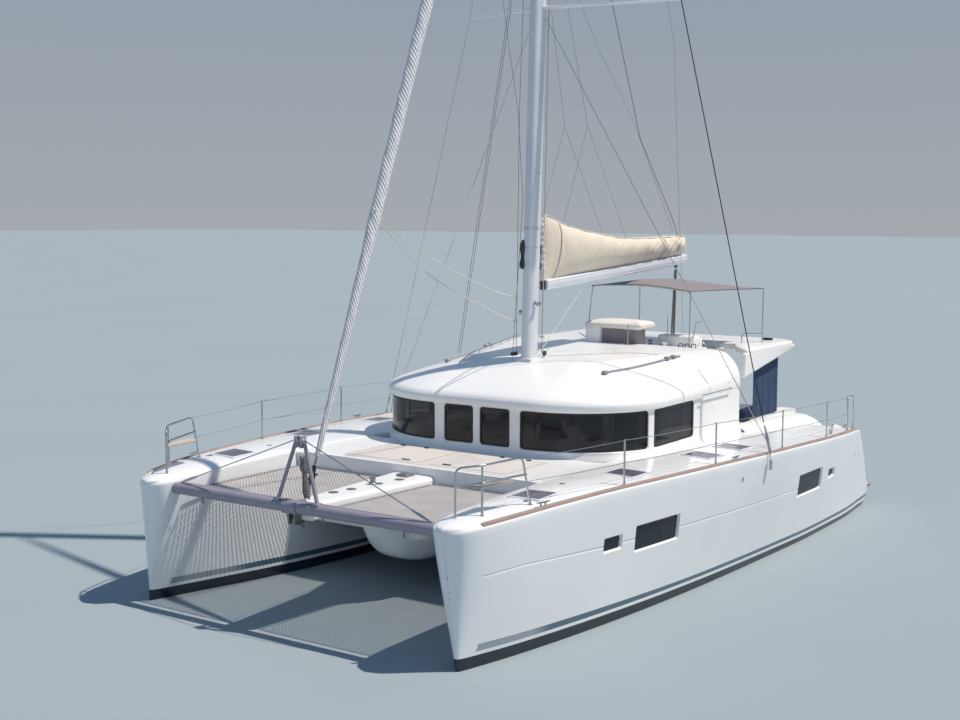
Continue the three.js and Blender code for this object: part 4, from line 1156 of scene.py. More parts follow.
lean = (0, STAY_SLOPE, 1)
drum = together(
    turned([[0.012, -0.02], [0.060, -0.018], [0.066, 0.0], [0.045, 0.012], [0.042, 0.09], [0.064, 0.105],
            [0.060, 0.125], [0.03, 0.13], [0.028, 0.22]], stay_point(1.90), lean, 28),
    turned([[0.02, 0], [0.05, 0.02], [0.05, 0.10], [0.02, 0.12]], stay_point(15.62), lean, 20))
fork = tube(along(stay_point(1.70), stay_point(2.24), 4), [0.018, 0.018, 0.022, 0.022], 12)
piece("genoa_roll", furled(), furled_cloth, replaces=["furled_genoa"])
piece("genoa_drum", drum, black_plastic, replaces=["furled_genoa"])
piece("genoa_stay", together(fork, tube(along(stay_point(15.4), stay_point(16.2), 6), 0.008, 8)), steel)


def lashing():
    """The furling line's tail, lashed round the stay's foot: turns whose width swells and narrows."""
    t = np.linspace(0, 1, 170)
    turns = 2 * np.pi * 17 * t
    size = np.interp(t, [0, 0.15, 0.45, 0.6, 0.72, 0.85, 1],
                     [0.030, 0.045, 0.032, 0.026, 0.055, 0.036, 0.044])
    core = np.array([0.045, -6.01, 1.71]) * (1 - t[:, None]) + np.array([0.0, -6.02, 2.26]) * t[:, None]
    ring = np.stack([np.cos(turns), np.sin(turns), 0.35 * np.cos(3 * turns)], -1)
    return tube(core + size[:, None] * ring, 0.013, 6)


piece("furling_line_lashing", lashing(), grey_rope)

# Mast, spreaders and standing rigging

MAST_Y, MAST_RAKE, MAST_FOOT, MAST_HEAD = -0.62, 0.034, 3.02, 19.6
MAST_HALF = (0.105, 0.165)
SPREADER_TIP = np.array([2.0, 0.56, 8.70])


def mast_axis(z):
    """A place on the mast's middle line."""
    z = np.asarray(z, float)
    return np.stack([0 * z, MAST_Y + (z - 3.09) * MAST_RAKE, z], -1)


def mast():
    """The mast's extrusion: an oval of power 2.3, with the sail's groove in its after edge."""
    z = np.concatenate([[MAST_FOOT], np.linspace(MAST_FOOT + 0.004, MAST_HEAD - 0.004, 40), [MAST_HEAD]])
    angle = np.linspace(0, 2 * np.pi, 73)
    cos, sin = np.cos(angle), np.sin(angle)
    groove = 0.022 * np.exp(-((angle - np.pi / 2) / 0.05) ** 2)
    x = MAST_HALF[0] * np.sign(cos) * np.abs(cos) ** (2 / 2.3)
    y = MAST_HALF[1] * np.sign(sin) * np.abs(sin) ** (2 / 2.3) - groove
    points = mast_axis(z)[:, None] + np.stack(np.broadcast_arrays(x, y, 0 * x), -1)
    return grid(points, caps=True)


def spreader():
    """The port spreader: an aerofoil that narrows towards its tip."""
    t = np.array([0, 0.02, 0.2, 0.5, 0.8, 0.97, 1.0])[:, None]
    path = mast_axis(8.60) * (1 - t) + SPREADER_TIP * t
    angle = np.linspace(0, 2 * np.pi, 25)
    size = np.interp(t, [0, 0.97, 1.0], [1.0, 0.6, 0.3])
    ring = np.stack([0 * angle, 0.085 * np.cos(angle), 0.026 * np.sin(angle)], -1)
    return grid(path[:, None] + size[..., None] * ring, caps=True)


def band(z, height, spare):
    """A collar round the mast."""
    angle = np.linspace(0, 2 * np.pi, 49)
    wide, long = MAST_HALF
    ring = np.stack([(wide + spare) * np.cos(angle), (long + spare) * np.sin(angle), 0 * angle], -1)
    edges = (0, 0.93), (0.002, 1), (height - 0.002, 1), (height, 0.93)
    return grid(np.stack([mast_axis(z + rise) + ring * share for rise, share in edges]), caps=True)


piece("mast_tube", together(mast(), spreader(), mirrored(spreader())), anodised, replaces=["mast"], crease=50)
piece("mast_step", together(block([-0.15, -0.83, 2.98], [0.15, -0.40, 3.085], 0.02), band(3.05, 0.06, 0.008)),
      anodised, replaces=["mast"])
# The bag's collar round the mast, in charcoal canvas: its darkness is painted shade
bundle = mast_axis(np.linspace(4.50, 4.97, 16)) + [-0.075, -0.13, 0]
bundle_size = 0.052 + 0.010 * np.sin(np.linspace(0, 11, 16))
bundle_size[[0, -1]] = 0.02
painted_shade_bundles = together(tube(bundle, bundle_size, 16),
                   tube(bundle + [0.10, 0.30, -0.02], 0.7 * bundle_size, 14))
piece("mast_wrap", painted_shade_bundles, dark_canvas_and_painted_shade)
mast_bands = together(band(4.84, 0.02, 0.005), band(5.13, 0.05, 0.006), band(6.02, 0.02, 0.004))
piece("mast_bands", mast_bands, sailcloth)


def winch(x, y, z, axis=(0, 0, 1), size=1.0):
    """A winch: a flared drum with a waist and a crown."""
    profile = np.array([[0.0, 0.0], [0.06, 0.0], [0.062, 0.02], [0.045, 0.035], [0.040, 0.075], [0.052, 0.10],
                        [0.052, 0.118], [0.03, 0.125], [0.0, 0.126]]) * size
    return turned(profile, np.array([x, y, z], float), axis, 24)


mast_winches = together(winch(0.10, -0.62, 3.95, (1, 0, 0), 0.8), winch(-0.10, -0.60, 3.80, (-1, 0, 0), 0.8),
                        winch(-0.02, -0.36, 4.35, (0, 1, 0), 0.7))
piece("mast_winches", mast_winches, steel)
FOOT_BLOCKS = [
    # x, y, the way its pin points
    (0.13, -0.33, (1, 1, 0)),
    (0.18, -0.42, (1, 1, 0)),
    (0.07, -0.30, (1, 1, 0)),
    (-0.19, -0.72, (1, -1, 0)),
    (-0.20, -0.80, (1, -1, 0)),
    (0.22, -0.52, (1, 0, 0)),
]
sheave_profile = [[0.0, -0.012], [0.03, -0.012], [0.035, 0], [0.03, 0.012], [0.0, 0.012]]
foot_blocks = [turned(sheave_profile, [x, y, 3.145], way, 14) for x, y, way in FOOT_BLOCKS]
piece("mast_foot_blocks", together(*foot_blocks), black_plastic)


def shroud(radius, side):
    """A shroud from its chainplate over the spreader's tip to the mast."""
    foot, head = np.array([3.76, 0.38, 1.62]), np.array([0.12, -0.12, 16.2])
    start = foot + (SPREADER_TIP - foot) * 0.085
    path = np.concatenate([along(start, SPREADER_TIP, 24), along(SPREADER_TIP, head, 24)[1:]])
    return tube(path * [side, 1, 1], radius, 8)


def turnbuckle(foot, way, length):
    """A bottle screw with its fork, along a rigging wire."""
    way = unit(np.asarray(way, float))
    return turned([[0.0, 0.0], [0.012, 0.0], [0.012, 0.05], [0.007, 0.06], [0.007, 0.12], [0.014, 0.13],
                   [0.014, length - 0.17], [0.007, length - 0.16], [0.007, length - 0.02], [0.0, length]],
                  np.asarray(foot, float), way, 12)


piece("shroud_port_wire", shroud(0.0088, 1), rigging, replaces=["shroud_port"])
piece("shroud_starboard_wire", shroud(0.006, -1), steel, replaces=["shroud_starboard"])
pair("shroud_screw", together(turnbuckle([3.765, 0.379, 1.60], [-1.76, 0.18, 7.10], 0.62),
                              turnbuckle([3.70, 0.50, 1.76], [-1.70, -0.35, 7.10], 0.42),
                              block([3.735, 0.345, 1.50], [3.768, 0.415, 1.66], 0.008)), steel,
     replaces=["shroud_{}"])
lower = [tube(along([side * 3.70, 0.50, 1.79], mast_axis(8.45) + [side * 0.11, 0.06, 0], 16), 0.006, 8)
         for side in (-1, 1)]
piece("lower_shrouds", together(*lower), steel)

# Boom, sail bag and the lines that hold them

BOOM_PIVOT, BOOM_Z, BOOM_RISE = -0.25, 4.2275, 0.06
BOOM_HALF = 0.0875
BAG = np.array([
    # y, half width, height over the boom's top
    [-0.27, 0.050, 1.08],
    [-0.22, 0.085, 1.075],
    [-0.05, 0.14, 1.01],
    [0.20, 0.185, 0.915],
    [0.79, 0.215, 0.77],
    [1.40, 0.22, 0.66],
    [2.08, 0.21, 0.548],
    [2.83, 0.195, 0.478],
    [3.94, 0.175, 0.42],
    [4.70, 0.14, 0.385],
    [4.84, 0.10, 0.37],
    [4.88, 0.06, 0.34],
])


def boom_z(y):
    """The height of the boom's middle line."""
    return BOOM_Z + (np.asarray(y, float) - BOOM_PIVOT) * BOOM_RISE


def boom():
    """The boom's extrusion: a rounded box section with a groove along each side."""
    y = np.concatenate([[-0.20, -0.196], np.linspace(-0.18, 4.90, 30), [4.936, 4.95]])
    angle = np.linspace(0, 2 * np.pi, 65)
    cos, sin = np.cos(angle), np.sin(angle)
    size = np.interp(y, [-0.20, -0.196, 4.936, 4.95], [0.94, 1, 1, 0.9])[:, None]
    groove = 0.012 * np.exp(-((np.abs(sin) - 0.25) / 0.05) ** 2)
    x = size * (0.085 * np.sign(cos) * np.abs(cos) ** 0.45 - groove * np.sign(cos))
    z = boom_z(y)[:, None] + size * BOOM_HALF * np.sign(sin) * np.abs(sin) ** 0.45
    return grid(np.stack(np.broadcast_arrays(x, y[:, None], z), -1), caps=True)


def bag_section(y, t):
    """Half width and height of the bag over the boom at y, at a share t of its height: a teardrop."""
    half, tall = np.moveaxis(through(BAG[:, 0], BAG[:, 1:], y), -1, 0)
    belly = np.sin(np.pi * np.clip(0.12 + 0.88 * (1 - t) ** 0.8, 0, 1)) ** 0.75
    return np.maximum(half * belly, 0.006), boom_z(y) + BOOM_HALF - 0.01 + tall * t


def bag():
    """The sail bag: a teardrop section drawn in at its seams, with wrinkles that grow towards its end."""
    y = np.linspace(-0.27, 4.88, 330)[:, None]
    t = np.linspace(0, 1, 41)[None, :]
    x, z = bag_section(y + 0 * t, t + 0 * y)
    seam = np.abs((y / 0.62 + 0.1) % 1.0 - 0.5) * 2
    slack = np.clip((y - 2.5) / 2.2, 0.12, 1.0)
    folds = (0.010 * np.sin(9.0 * y + 7.0 * t) + 0.009 * np.sin(23.0 * y - 11.0 * t + 1.3)
             + 0.006 * np.sin(41.0 * y + 5.0 * t)) * slack * np.sin(np.pi * t) ** 0.7
    x = np.maximum(x * (1 - 0.05 * seam ** 6 * np.sin(np.pi * t)) + folds, 0.006)
    z = z - 0.014 * np.sin(y * 5.1) ** 2 * t
    port = np.stack(np.broadcast_arrays(x, y, z), -1)
    starboard = (port * [-1, 1, 1])[:, ::-1]
    return grid(np.concatenate([port, starboard, port[:, :1]], 1), caps=True)


def bag_line(t, y0, y1, out, count=120):
    """A path along the bag's port side at a share t of its height."""
    y = np.linspace(y0, y1, count)
    x, z = bag_section(y, np.full(count, t))
    return np.column_stack([x + out, y, z])


def strap(y, width):
    """A webbing strap round the bag at y."""
    x, z = bag_section(np.full(15, y), np.linspace(0, 1, 15))
    port = np.column_stack([x + 0.012, z])
    loop = np.concatenate([port, (port * [-1, 1])[::-1], port[:1]])
    rows = [np.column_stack([loop[:, 0], np.full(len(loop), y + dy), loop[:, 1] + dy * BOOM_RISE])
            for dy in (-width / 2, width / 2)]
    return grid(np.stack(rows))


piece("boom_tube", boom(), anodised, body="boom", replaces=["boom"], crease=50)
end_z = float(boom_z(4.93))
boom_end = together(turned([[0, -0.02], [0.035, -0.02], [0.04, 0], [0.035, 0.02], [0, 0.02]],
                           [0, 4.62, end_z - 0.13], (1, 0, 0), 18),
                    tube([[0, 4.62, end_z - 0.12], [0, 4.62, end_z - 0.05]], 0.012, 8),
                    block([-0.04, -0.30, 4.16], [0.04, -0.17, 4.30], 0.01))
piece("boom_fittings", boom_end, black_plastic, body="boom", replaces=["boom"])
piece("boom_cap", block([-0.09, 4.90, end_z - 0.095], [0.09, 4.965, end_z + 0.095], 0.025), anodised,
      body="boom", replaces=["boom"])
piece("bag_skin", bag(), beige_canvas, body="boom", replaces=["sail_bag"], crease=70)
piping = [tube(bag_line(0.985, -0.2, 4.86, 0.006) * [side, 1, 1], 0.009, 6) for side in (-1, 1)]
piece("bag_piping", together(*piping), white_rope, body="boom", replaces=["sail_bag"])
hem = [tube(bag_line(0.0, -0.2, 4.86, 0.004) * [side, 1, 1], 0.010, 6) for side in (-1, 1)]
piece("bag_hem", together(*hem), dark_canvas_and_painted_shade, body="boom", replaces=["sail_bag"])
piece("bag_straps", together(strap(0.10, 0.04), strap(3.85, 0.05), strap(4.50, 0.06)),
      beige_canvas, body="boom", replaces=["sail_bag"])


def luff():
    """The stack of folded sail at the mast, bulging out of the bag's open end."""
    z = np.linspace(4.35, 5.34, 60)[:, None]
    angle = np.linspace(0, 2 * np.pi, 25)[None, :]
    size = np.interp(z, [4.35, 4.45, 5.0, 5.30, 5.34], [0.04, 0.075, 0.07, 0.045, 0.01])
    radius = size * (1 + 0.12 * np.sin(z * 62) + 0.08 * np.sin(2 * angle + z * 20))
    x, y = radius * np.cos(angle), -0.30 + 0.8 * radius * np.sin(angle) + 0 * z
    return grid(np.stack(np.broadcast_arrays(x, y, z), -1), caps=True)


piece("sail_luff", luff(), sailcloth, body="boom")


def line(name, points, radius, material, end_body=None, sag=0.0):
    """A taut line through points. With an end body it runs from the boat to that body, but rides on no body.
    """
    path = np.concatenate([hanging(a, b, sag, 14)[:-1] for a, b in zip(points[:-1], points[1:])]
                          + [np.array(points[-1:], float)])
    made = piece(name, tube(path, radius, 6), material, body=None if end_body else "root")
    if end_body:
        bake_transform(made)


MASTHEAD = (0.0, -0.06, 19.55)
line("topping_lift", [MASTHEAD, (0, 1.95, 9.04), (0, 3.07, 6.76), (0, 4.47, 5.28), (0, 4.93, 4.60)], 0.005,
     rigging, "boom")
line("lazy_jack_centre_aft", [(0.0, -0.10, 9.9), (0, 1.57, 8.12), (0, 2.83, 7.03), (0, 4.47, 5.06)], 0.0032,
     grey_rope, "boom")
for side, name in ((1, "port"), (-1, "starboard")):
    x = 0.22 * side
    line(f"lazy_jack_{name}_fore", [(0.1 * side, -0.25, 10.2), (x, 0.79, 6.84), (x, 0.05, 5.25)], 0.0032,
         grey_rope, "boom")
    line(f"lazy_jack_{name}_aft", [(x, 0.79, 6.84), (x, 2.2, 4.95)], 0.0032, grey_rope, "boom")
for k, (x, y) in enumerate(((0.032, 0.0), (0.0, 0.032), (-0.032, 0.0), (0.0, -0.032))):
    line(f"mainsheet_{k}", [(x, 4.55 + y, 3.10), (0.5 * x, 4.62 + 0.5 * y, 4.34)], 0.0125, grey_rope, "boom")
line("vang", [(0.06, -0.33, 3.20), (0.05, 0.93, 4.10)], 0.006, white_rope, "boom")
line("halyard_aft", [(0.06, -0.43, 3.15), (0.055, -0.372, 5.5), (0.05, -0.05, 10.0), (0.05, 0.12, 19.4)],
     0.0055, white_rope)
line("halyard_port", [(0.11, -0.42, 3.15), (0.115, -0.30, 8.0), (0.10, 0.0, 19.4)], 0.005, grey_rope)
line("halyard_spare", [(0.16, -0.46, 3.16), (0.125, -0.40, 5.6), (0.115, -0.3, 9.0)], 0.005, white_rope)
line("halyard_bow", [(-0.13, -0.80, 3.15), (-0.125, -0.76, 6.97), (-0.12, -0.5, 12.0)], 0.0045, grey_rope)
line("halyard_loose", [(-0.16, -0.86, 3.15), (-0.15, -0.60, 5.6), (-0.15, -0.76, 6.97), (-0.15, -1.21, 8.63)],
     0.004, grey_rope)
upper_way = [(0.05, -4.60, 5.42), (0, -3.88, 5.0), (0, -3.05, 4.67), (0, -1.81, 4.25), (-0.17, -0.80, 4.07)]
line("genoa_sheet_upper", upper_way, 0.009, white_rope, sag=0.02)
lower_way = [(-0.05, -4.58, 5.40), (-0.1, -3.2, 4.50), (-0.1, -1.9, 4.02), (-0.17, -0.72, 3.66)]
line("genoa_sheet_lower", lower_way, 0.009, white_rope, sag=0.03)
for k, (x, y) in enumerate(((-1.95, 0.15), (-1.87, 0.10))):
    line(f"halyard_starboard_{k}", [(x, y, 2.98), (-0.30, -0.30 + 0.06 * k, 10.6)], 0.005, grey_rope)
line("backstay_rope", [(0.15, 4.70, 3.06), (0.0, 4.37, 8.56), (0.0, 0.9, 17.5)], 0.003, grey_rope)

# Guard rails, pulpits and their seats

RAIL = 0.61
POSTS = [
    # x, y of each stanchion
    (3.24, -3.38),
    (3.52, -1.13),
    (3.66, 1.05),
    (3.67, 3.00),
]


def on_deck(x, y, rise=0.0):
    """A point over the side deck."""
    return np.array([x, y, float(deck_z(x, max(y, -6.12))) + rise])


def rails():
    """The port guard rail: a bent pulpit, stanchions, two wires and a pushpit."""
    inner, outer, bend, aft = (2.45, -6.10), (2.67, -5.86), (2.84, -5.24), (2.86, -5.10)
    last, end = (3.56, 4.35), (3.44, 5.0)
    high_wire, low_wire = RAIL - 0.012, 0.30
    bars = [bent([on_deck(*inner), on_deck(*inner, RAIL), on_deck(*outer, RAIL), on_deck(*bend, RAIL),
                  on_deck(*aft)], 0.09),
            [on_deck(*outer), on_deck(*outer, RAIL)],
            bent([on_deck(*last), on_deck(*last, RAIL), on_deck(*end, RAIL), on_deck(*end)], 0.07),
            bent([on_deck(*place, 0.39) for place in ((2.455, -6.09), (2.66, -5.84), (2.852, -5.17))], 0.05)]
    posts = [[on_deck(*post), on_deck(*post, RAIL)] for post in POSTS]
    wires = []
    for rise, first in ((high_wire, bend), (low_wire, (2.855, -5.16))):
        stops = [on_deck(*place, rise) for place in (first, *POSTS, last)]
        wires += [tube(hanging(a, b, 0.012, 12), 0.0045, 6) for a, b in zip(stops[:-1], stops[1:])]
    foot = [[0.036, 0], [0.036, 0.006], [0.018, 0.012], [0.017, 0.05], [0.0125, 0.052]]
    feet = [turned(foot, on_deck(*place, -0.002), sides=16)
            for place in (*POSTS, inner, outer, aft, last, end)]
    eyes = [turned([[0.012, -0.01], [0.017, 0], [0.012, 0.01]], on_deck(*post, rise), sides=10)
            for post in POSTS for rise in (high_wire, low_wire)]
    return together(*[tube(path, 0.0135, 12) for path in bars],
                    *[tube(path, 0.0125, 12) for path in posts], *wires, *feet, *eyes)


pair("rails", rails(), steel, replaces=["guard_rail_{}"])
seat = bent([[2.49, -6.06], [2.65, -5.85], [2.81, -5.33], [2.53, -5.45]], 0.06, 6, True)
pair("pulpit_seat_board", slab(seat, 2.131, 2.154, 0.006), slats, replaces=["pulpit_seat_{}"])

# Fittings on the roof and the decks

TRACK =((1.487, -0.783), (1.83, 1.10))
track = on_roof(along(*TRACK, 24), 0.008)
cars = [block(track[k] - [0.04, 0.06, 0.01], track[k] + [0.04, 0.06, 0.045], 0.02) for k in (0, 19, 21)]
pair("genoa_track", together(tube(track, 0.022, 8), *cars), dark_anodised)
rope_way = bent([(0.12, -0.30), (0.65, 0.22), (1.02, 0.69), (1.33, 0.83), (1.56, 0.86)], 0.3, 8)
piece("roof_rope", tube(on_roof(rope_way), 0.006, 6), grey_rope)
SEAMS = ([[1.06, 2.89], [0.955, 2.73], [0.965, 2.57]], [[1.84, 2.88], [1.71, 2.62]])
seams = [tube(cast(roof_tree, [[4.0, y, z] for y, z in bent(seam, 0.05)], (-1, 0, 0), 0.002), 0.007, 6)
         for seam in SEAMS]
piece("roof_seams", together(*seams), grey_rope)
hand = cast(roof_tree, [[4.0, y, 2.53] for y in np.linspace(0.66, 1.73, 8)], (-1, 0, 0), 0.045)
legs = [tube([hand[k], hand[k] - [0.05, 0, 0]], 0.009, 8) for k in (0, 7)]
pair("roof_hand_rail", together(tube(hand, 0.011, 8), *legs), steel)
share = np.linspace(0, 1, 24)
edge_rail = on_roof(np.column_stack([1.0 + 0.95 * share, -1.15 + 3.3 * share ** 0.8]), 0.05)
legs = [tube([edge_rail[k], edge_rail[k] - [0, 0, 0.06]], 0.009, 6) for k in range(0, 24, 4)]
piece("roof_grab_rail_starboard", mirrored(together(tube(edge_rail, 0.010, 8), *legs)), steel)
hoop = np.array([[0, 1.90, 3.08], [0, 1.90, 3.20], [0.06, 1.94, 3.20], [0.06, 1.94, 3.08]])
hoops = [tube(bent(hoop + [x, 0, 0], 0.02), 0.008, 8) for x in (1.42, 1.54, 1.66)]
clutches = [block([x - 0.02, 2.02, 3.06], [x + 0.02, 2.12, 3.13], 0.012) for x in (1.52, 1.60, 1.68)]
piece("roof_clutches", together(*hoops, *clutches), black_plastic)
roof_winches = together(winch(1.45, 2.10, 3.04), winch(1.05, 2.12, 3.08), winch(-1.45, 2.10, 3.04))
piece("roof_winches", roof_winches, steel)


def cleat(x, y, turn=0.0):
    """A two-horned mooring cleat on the deck."""
    along_it = np.array([math.sin(turn), math.cos(turn), 0.0])
    base = on_deck(x, y)
    horn = [base + along_it * s + [0, 0, h]
            for s, h in ((-0.12, 0.062), (-0.06, 0.054), (0.06, 0.054), (0.12, 0.062))]
    legs = [tube([base + along_it * s, base + along_it * s + [0, 0, 0.055]], [0.016, 0.011], 8)
            for s in (-0.04, 0.04)]
    return together(tube(horn, [0.006, 0.012, 0.012, 0.006], 8), *legs)


cleats = together(cleat(3.02, -5.05, 0.2), cleat(3.60, -0.60, 0.05), cleat(3.55, 3.55), cleat(3.36, 4.80))
pair("cleats", cleats, steel)
vents = together(
    turned([[0.0, 0.0], [0.05, 0.0], [0.05, 0.006], [0.02, 0.012], [0.0, 0.012]],
           on_deck(2.75, -5.0, -0.002)),
    turned([[0.0, 0.0], [0.04, 0.0], [0.04, 0.006], [0.0, 0.009]], on_deck(2.60, -3.9, -0.002)),
    turned([[0.0, -0.004], [0.028, -0.004], [0.03, 0.004], [0.018, 0.010], [0.0, 0.010]],
           hull_point(-0.39, topside_v(-0.39, 1.47), -0.002), (1, 0, 0)),
    turned([[0.0, -0.004], [0.020, -0.004], [0.02, 0.006], [0.0, 0.010]],
           hull_point(4.72, topside_v(4.72, 1.10), -0.002), (1, 0, 0)))
pair("deck_vents", vents, steel)
fittings = together(
    *[turned([[0.0, 0.0], [0.07, 0.0], [0.07, 0.008], [0.03, 0.016], [0.0, 0.016]], [x, y, 1.664])
      for x, y in ((-0.08, -5.35), (-0.02, -5.05), (0.04, -4.55), (0.10, -4.15))],
    block([-0.10, -3.98, 1.66], [0.10, -3.78, 1.70], 0.015), winch(0.0, -4.62, 1.66, size=0.9))
piece("walkway_fittings", fittings, galvanised)

# Flybridge: hardtop, helm, sun pad and canopy


def stood(shape):
    """A plate turned upright: its plan becomes the y-z plane and its height the distance to port."""
    points = shape[0]
    return np.stack([points[:, 2], points[:, 0], points[:, 1]], -1), shape[1], shape[2]


HARDTOP = [(-2.25, 2.50), (1.50, 2.50), (1.50, 2.95), (0.55, 2.95), (0.55, 3.95), (1.55, 3.95), (1.75, 3.50),
           (2.15, 2.95), (2.25, 2.95), (2.25, 5.05), (1.95, 5.35), (-1.95, 5.35), (-2.25, 5.05)]
piece("hardtop_skin", slab(bent(HARDTOP, 0.10, 6, True), 2.945, 3.062, 0.04), deck_gelcoat,
      replaces=["hardtop"], crease=50)
cheek = bent([[2.80, 2.575], [5.12, 2.935], [5.12, 3.0], [2.86, 3.0]], 0.05, 5, True)
pair("hardtop_cheek", stood(slab(cheek, 2.168, 2.252, 0.025)), deck_gelcoat, replaces=["hardtop"])
pair("hardtop_post", tube([[2.08, 4.56, 1.70], [2.08, 4.56, 2.96]], 0.025, 16), steel, replaces=["hardtop"])
console = together(block([0.60, 2.70, 3.055], [1.32, 3.0, 3.26], 0.05),
                   block([0.62, 2.955, 1.95], [1.30, 3.12, 3.20], 0.04))
piece("console_skin", console, deck_gelcoat, replaces=["helm_console"])
dials = [turned([[0.0, -0.01], [0.045, -0.01], [0.05, 0.0], [0.045, 0.008], [0.0, 0.010]], [x, 3.122, 3.08],
                (0, 1, 0)) for x in (0.72, 0.86, 1.06, 1.20)]
piece("console_dials", together(*dials), black_plastic)
WHEEL = np.array([1.025, 3.21, 2.80])
WHEEL_RADIUS = 0.385


def spoke_end(turn):
    """The place on the wheel's rim at a turn of it."""
    return WHEEL + WHEEL_RADIUS * np.stack([np.cos(turn), 0 * turn, np.sin(turn)], -1)


rim = tube(spoke_end(np.linspace(0, 2 * np.pi, 61)), 0.014, 10)
spokes = [tube([WHEEL, spoke_end(turn)], 0.009, 8) for turn in np.linspace(0, math.tau, 7)[:-1]]
hub = turned([[0, -0.04], [0.045, -0.03], [0.045, 0.03], [0, 0.04]], WHEEL, (0, 1, 0))
piece("wheel_rim", together(rim, *spokes, hub), steel, body="helm_wheel", replaces=["helm_wheel"])

# How much smaller than the cushion its cover is cut, how far the filling may push it, and its welt's radius
COVER_CUT, COVER_CAP, WELT_RADIUS = 0.008, 0.024, 0.0045
# The pressure that fills the cover and the frames it is given
COVER_PRESSURE, COVER_FRAMES = 4.0, 20


def baked(made):
    """Replaces an object's mesh by what its modifiers make of it, and returns its points."""
    mesh = bpy.data.meshes.new_from_object(made.evaluated_get(bpy.context.evaluated_depsgraph_get()))
    made.modifiers.clear()
    made.data = mesh
    points = np.zeros(len(mesh.vertices) * 3, np.float32)
    mesh.vertices.foreach_get("co", points)
    return points.reshape(-1, 3)


def blown_up(made, cell, cap):
    """Remeshes a cushion's cover in even cells, blows it up as cloth and applies the result: no point moves
    farther than the cap."""
    even = made.modifiers.new("even", "REMESH")
    even.mode, even.voxel_size, even.use_smooth_shade = "VOXEL", cell, True
    start = baked(made)
    cover = made.modifiers.new("cover", "CLOTH")
    cover.settings.use_pressure, cover.settings.uniform_pressure_force = True, COVER_PRESSURE
    cover.settings.effector_weights.gravity = 0.0
    cover.collision_settings.use_collision = False
    for frame in range(1, COVER_FRAMES + 1):
        bpy.context.scene.frame_set(frame)
    way = baked(made) - start
    size = np.linalg.norm(way, axis=1, keepdims=True)
    points = start + way * np.minimum(1.0, cap / np.maximum(size, 1e-9))
    made.data.vertices.foreach_set("co", points.ravel())
    bpy.context.scene.frame_set(1)
    smooth = made.modifiers.new("smooth", "SUBSURF")
    smooth.levels = smooth.render_levels = 1


def cushion(name, low, high, material, radius, replaces=(), crown=0.02, cell=0.014):
    """A foam cushion: a rounded block cut small whose top swells by a low dome, blown up as cloth in the full
    scene. A welt runs round it where its side meets each face."""
    low, high = np.array(low) + COVER_CUT, np.array(high) - COVER_CUT
    points, faces, uv = block(low, high, radius, 8)
    centre, half = (low + high) / 2, (high - low) / 2
    away = (points - centre) / half
    swell = crown * np.prod(1 - np.clip(np.abs(away[:, :2]), 0, 1) ** 2, axis=1) * (away[:, 2] > 0.9)
    made = piece(name, (points + swell[:, None] * [0, 0, 1], faces, uv), material, replaces=replaces)
    blown_up(made, cell, COVER_CAP)
    tree = BVHTree.FromObject(made, bpy.context.evaluated_depsgraph_get())
    flat = int(np.argmin(half))
    wide, deep = [k for k in range(3) if k != flat]
    turn = np.linspace(0, 2 * np.pi, 121)
    ways = np.zeros((121, 3))
    ways[:, wide], ways[:, deep] = half[wide] * np.cos(turn), half[deep] * np.sin(turn)
    welts = []
    for side in (-0.42, 0.42):
        start = centre.copy()
        start[flat] += side * half[flat]
        seam = [tree.ray_cast(Vector(start), Vector(way))[0] for way in ways]
        welts.append(tube(seam, WELT_RADIUS, 8))
    piece(f"{name}_welt", together(*welts), material, replaces=replaces)


cushion("sun_pad_cushion", [-0.42, 1.80, 3.40], [0.76, 2.42, 3.505], vinyl, 0.05, ["sun_pad"], 0.04)
# The block under the cushion is taupe, darker than the white round it: painted shade for the gap beneath the
# cushion
piece("sun_pad_base", block([-0.12, 1.95, 3.07], [0.58, 2.30, 3.41], 0.02), taupe_canvas,
      replaces=["sun_pad"])
piece("sun_pad_locker", block([-0.40, 1.86, 3.07], [-0.10, 2.38, 3.42], 0.04), deck_gelcoat,
      replaces=["sun_pad"])
cushion("helm_seat_cushion", [0.65, 3.56, 2.42], [1.40, 3.90, 2.54], vinyl, 0.055, ["helm_seat"], cell=0.010)
cushion("helm_seat_back", [0.65, 3.83, 2.56], [1.40, 3.93, 3.0], vinyl, 0.04, ["helm_seat"], 0.0, 0.010)
cushion("coaming_bolster", [2.03, 2.96, 1.77], [2.19, 3.42, 2.0], navy_pad, 0.06, crown=0.0, cell=0.010)
piece("helm_seat_base", block([0.70, 3.62, 1.95], [1.35, 3.90, 2.43], 0.03), deck_gelcoat,
      replaces=["helm_seat"])
CANOPY = np.array([[-0.69, 2.60], [1.28, 2.60], [1.85, 4.50], [-0.70, 4.50]])
# Heights of the cloth's edge, of the fore bar's port end, of the edge bars and of the fore starboard corner
CLOTH_Z, BAR_Z, EDGE_Z, CORNER_Z = 4.052, 4.038, 4.045, 4.088


def fore_arch(a):
    """How far the canopy's fore edge stands above its port end: it rises to starboard and arches between."""
    return 0.05 * (1 - a) + 0.06 * np.sin(np.pi * a)


def canopy():
    """The canopy: a cloth between four corners that rises by a low dome and is scalloped between them."""
    a, b = np.meshgrid(np.linspace(0, 1, 40), np.linspace(0, 1, 40), indexing="ij")
    a2 = 0.5 + (a - 0.5) * (1 - 0.035 * np.sin(np.pi * b))
    b2 = 0.5 + (b - 0.5) * (1 - 0.035 * np.sin(np.pi * a))
    near = CANOPY[0] * (1 - a2[..., None]) + CANOPY[1] * a2[..., None]
    far = CANOPY[3] * (1 - a2[..., None]) + CANOPY[2] * a2[..., None]
    plan = near * (1 - b2[..., None]) + far * b2[..., None]
    z = CLOTH_Z + 0.12 * (np.sin(np.pi * a) * np.sin(np.pi * b)) ** 0.8 + (1 - b) * fore_arch(a)
    return np.concatenate([plan, z[..., None]], -1)


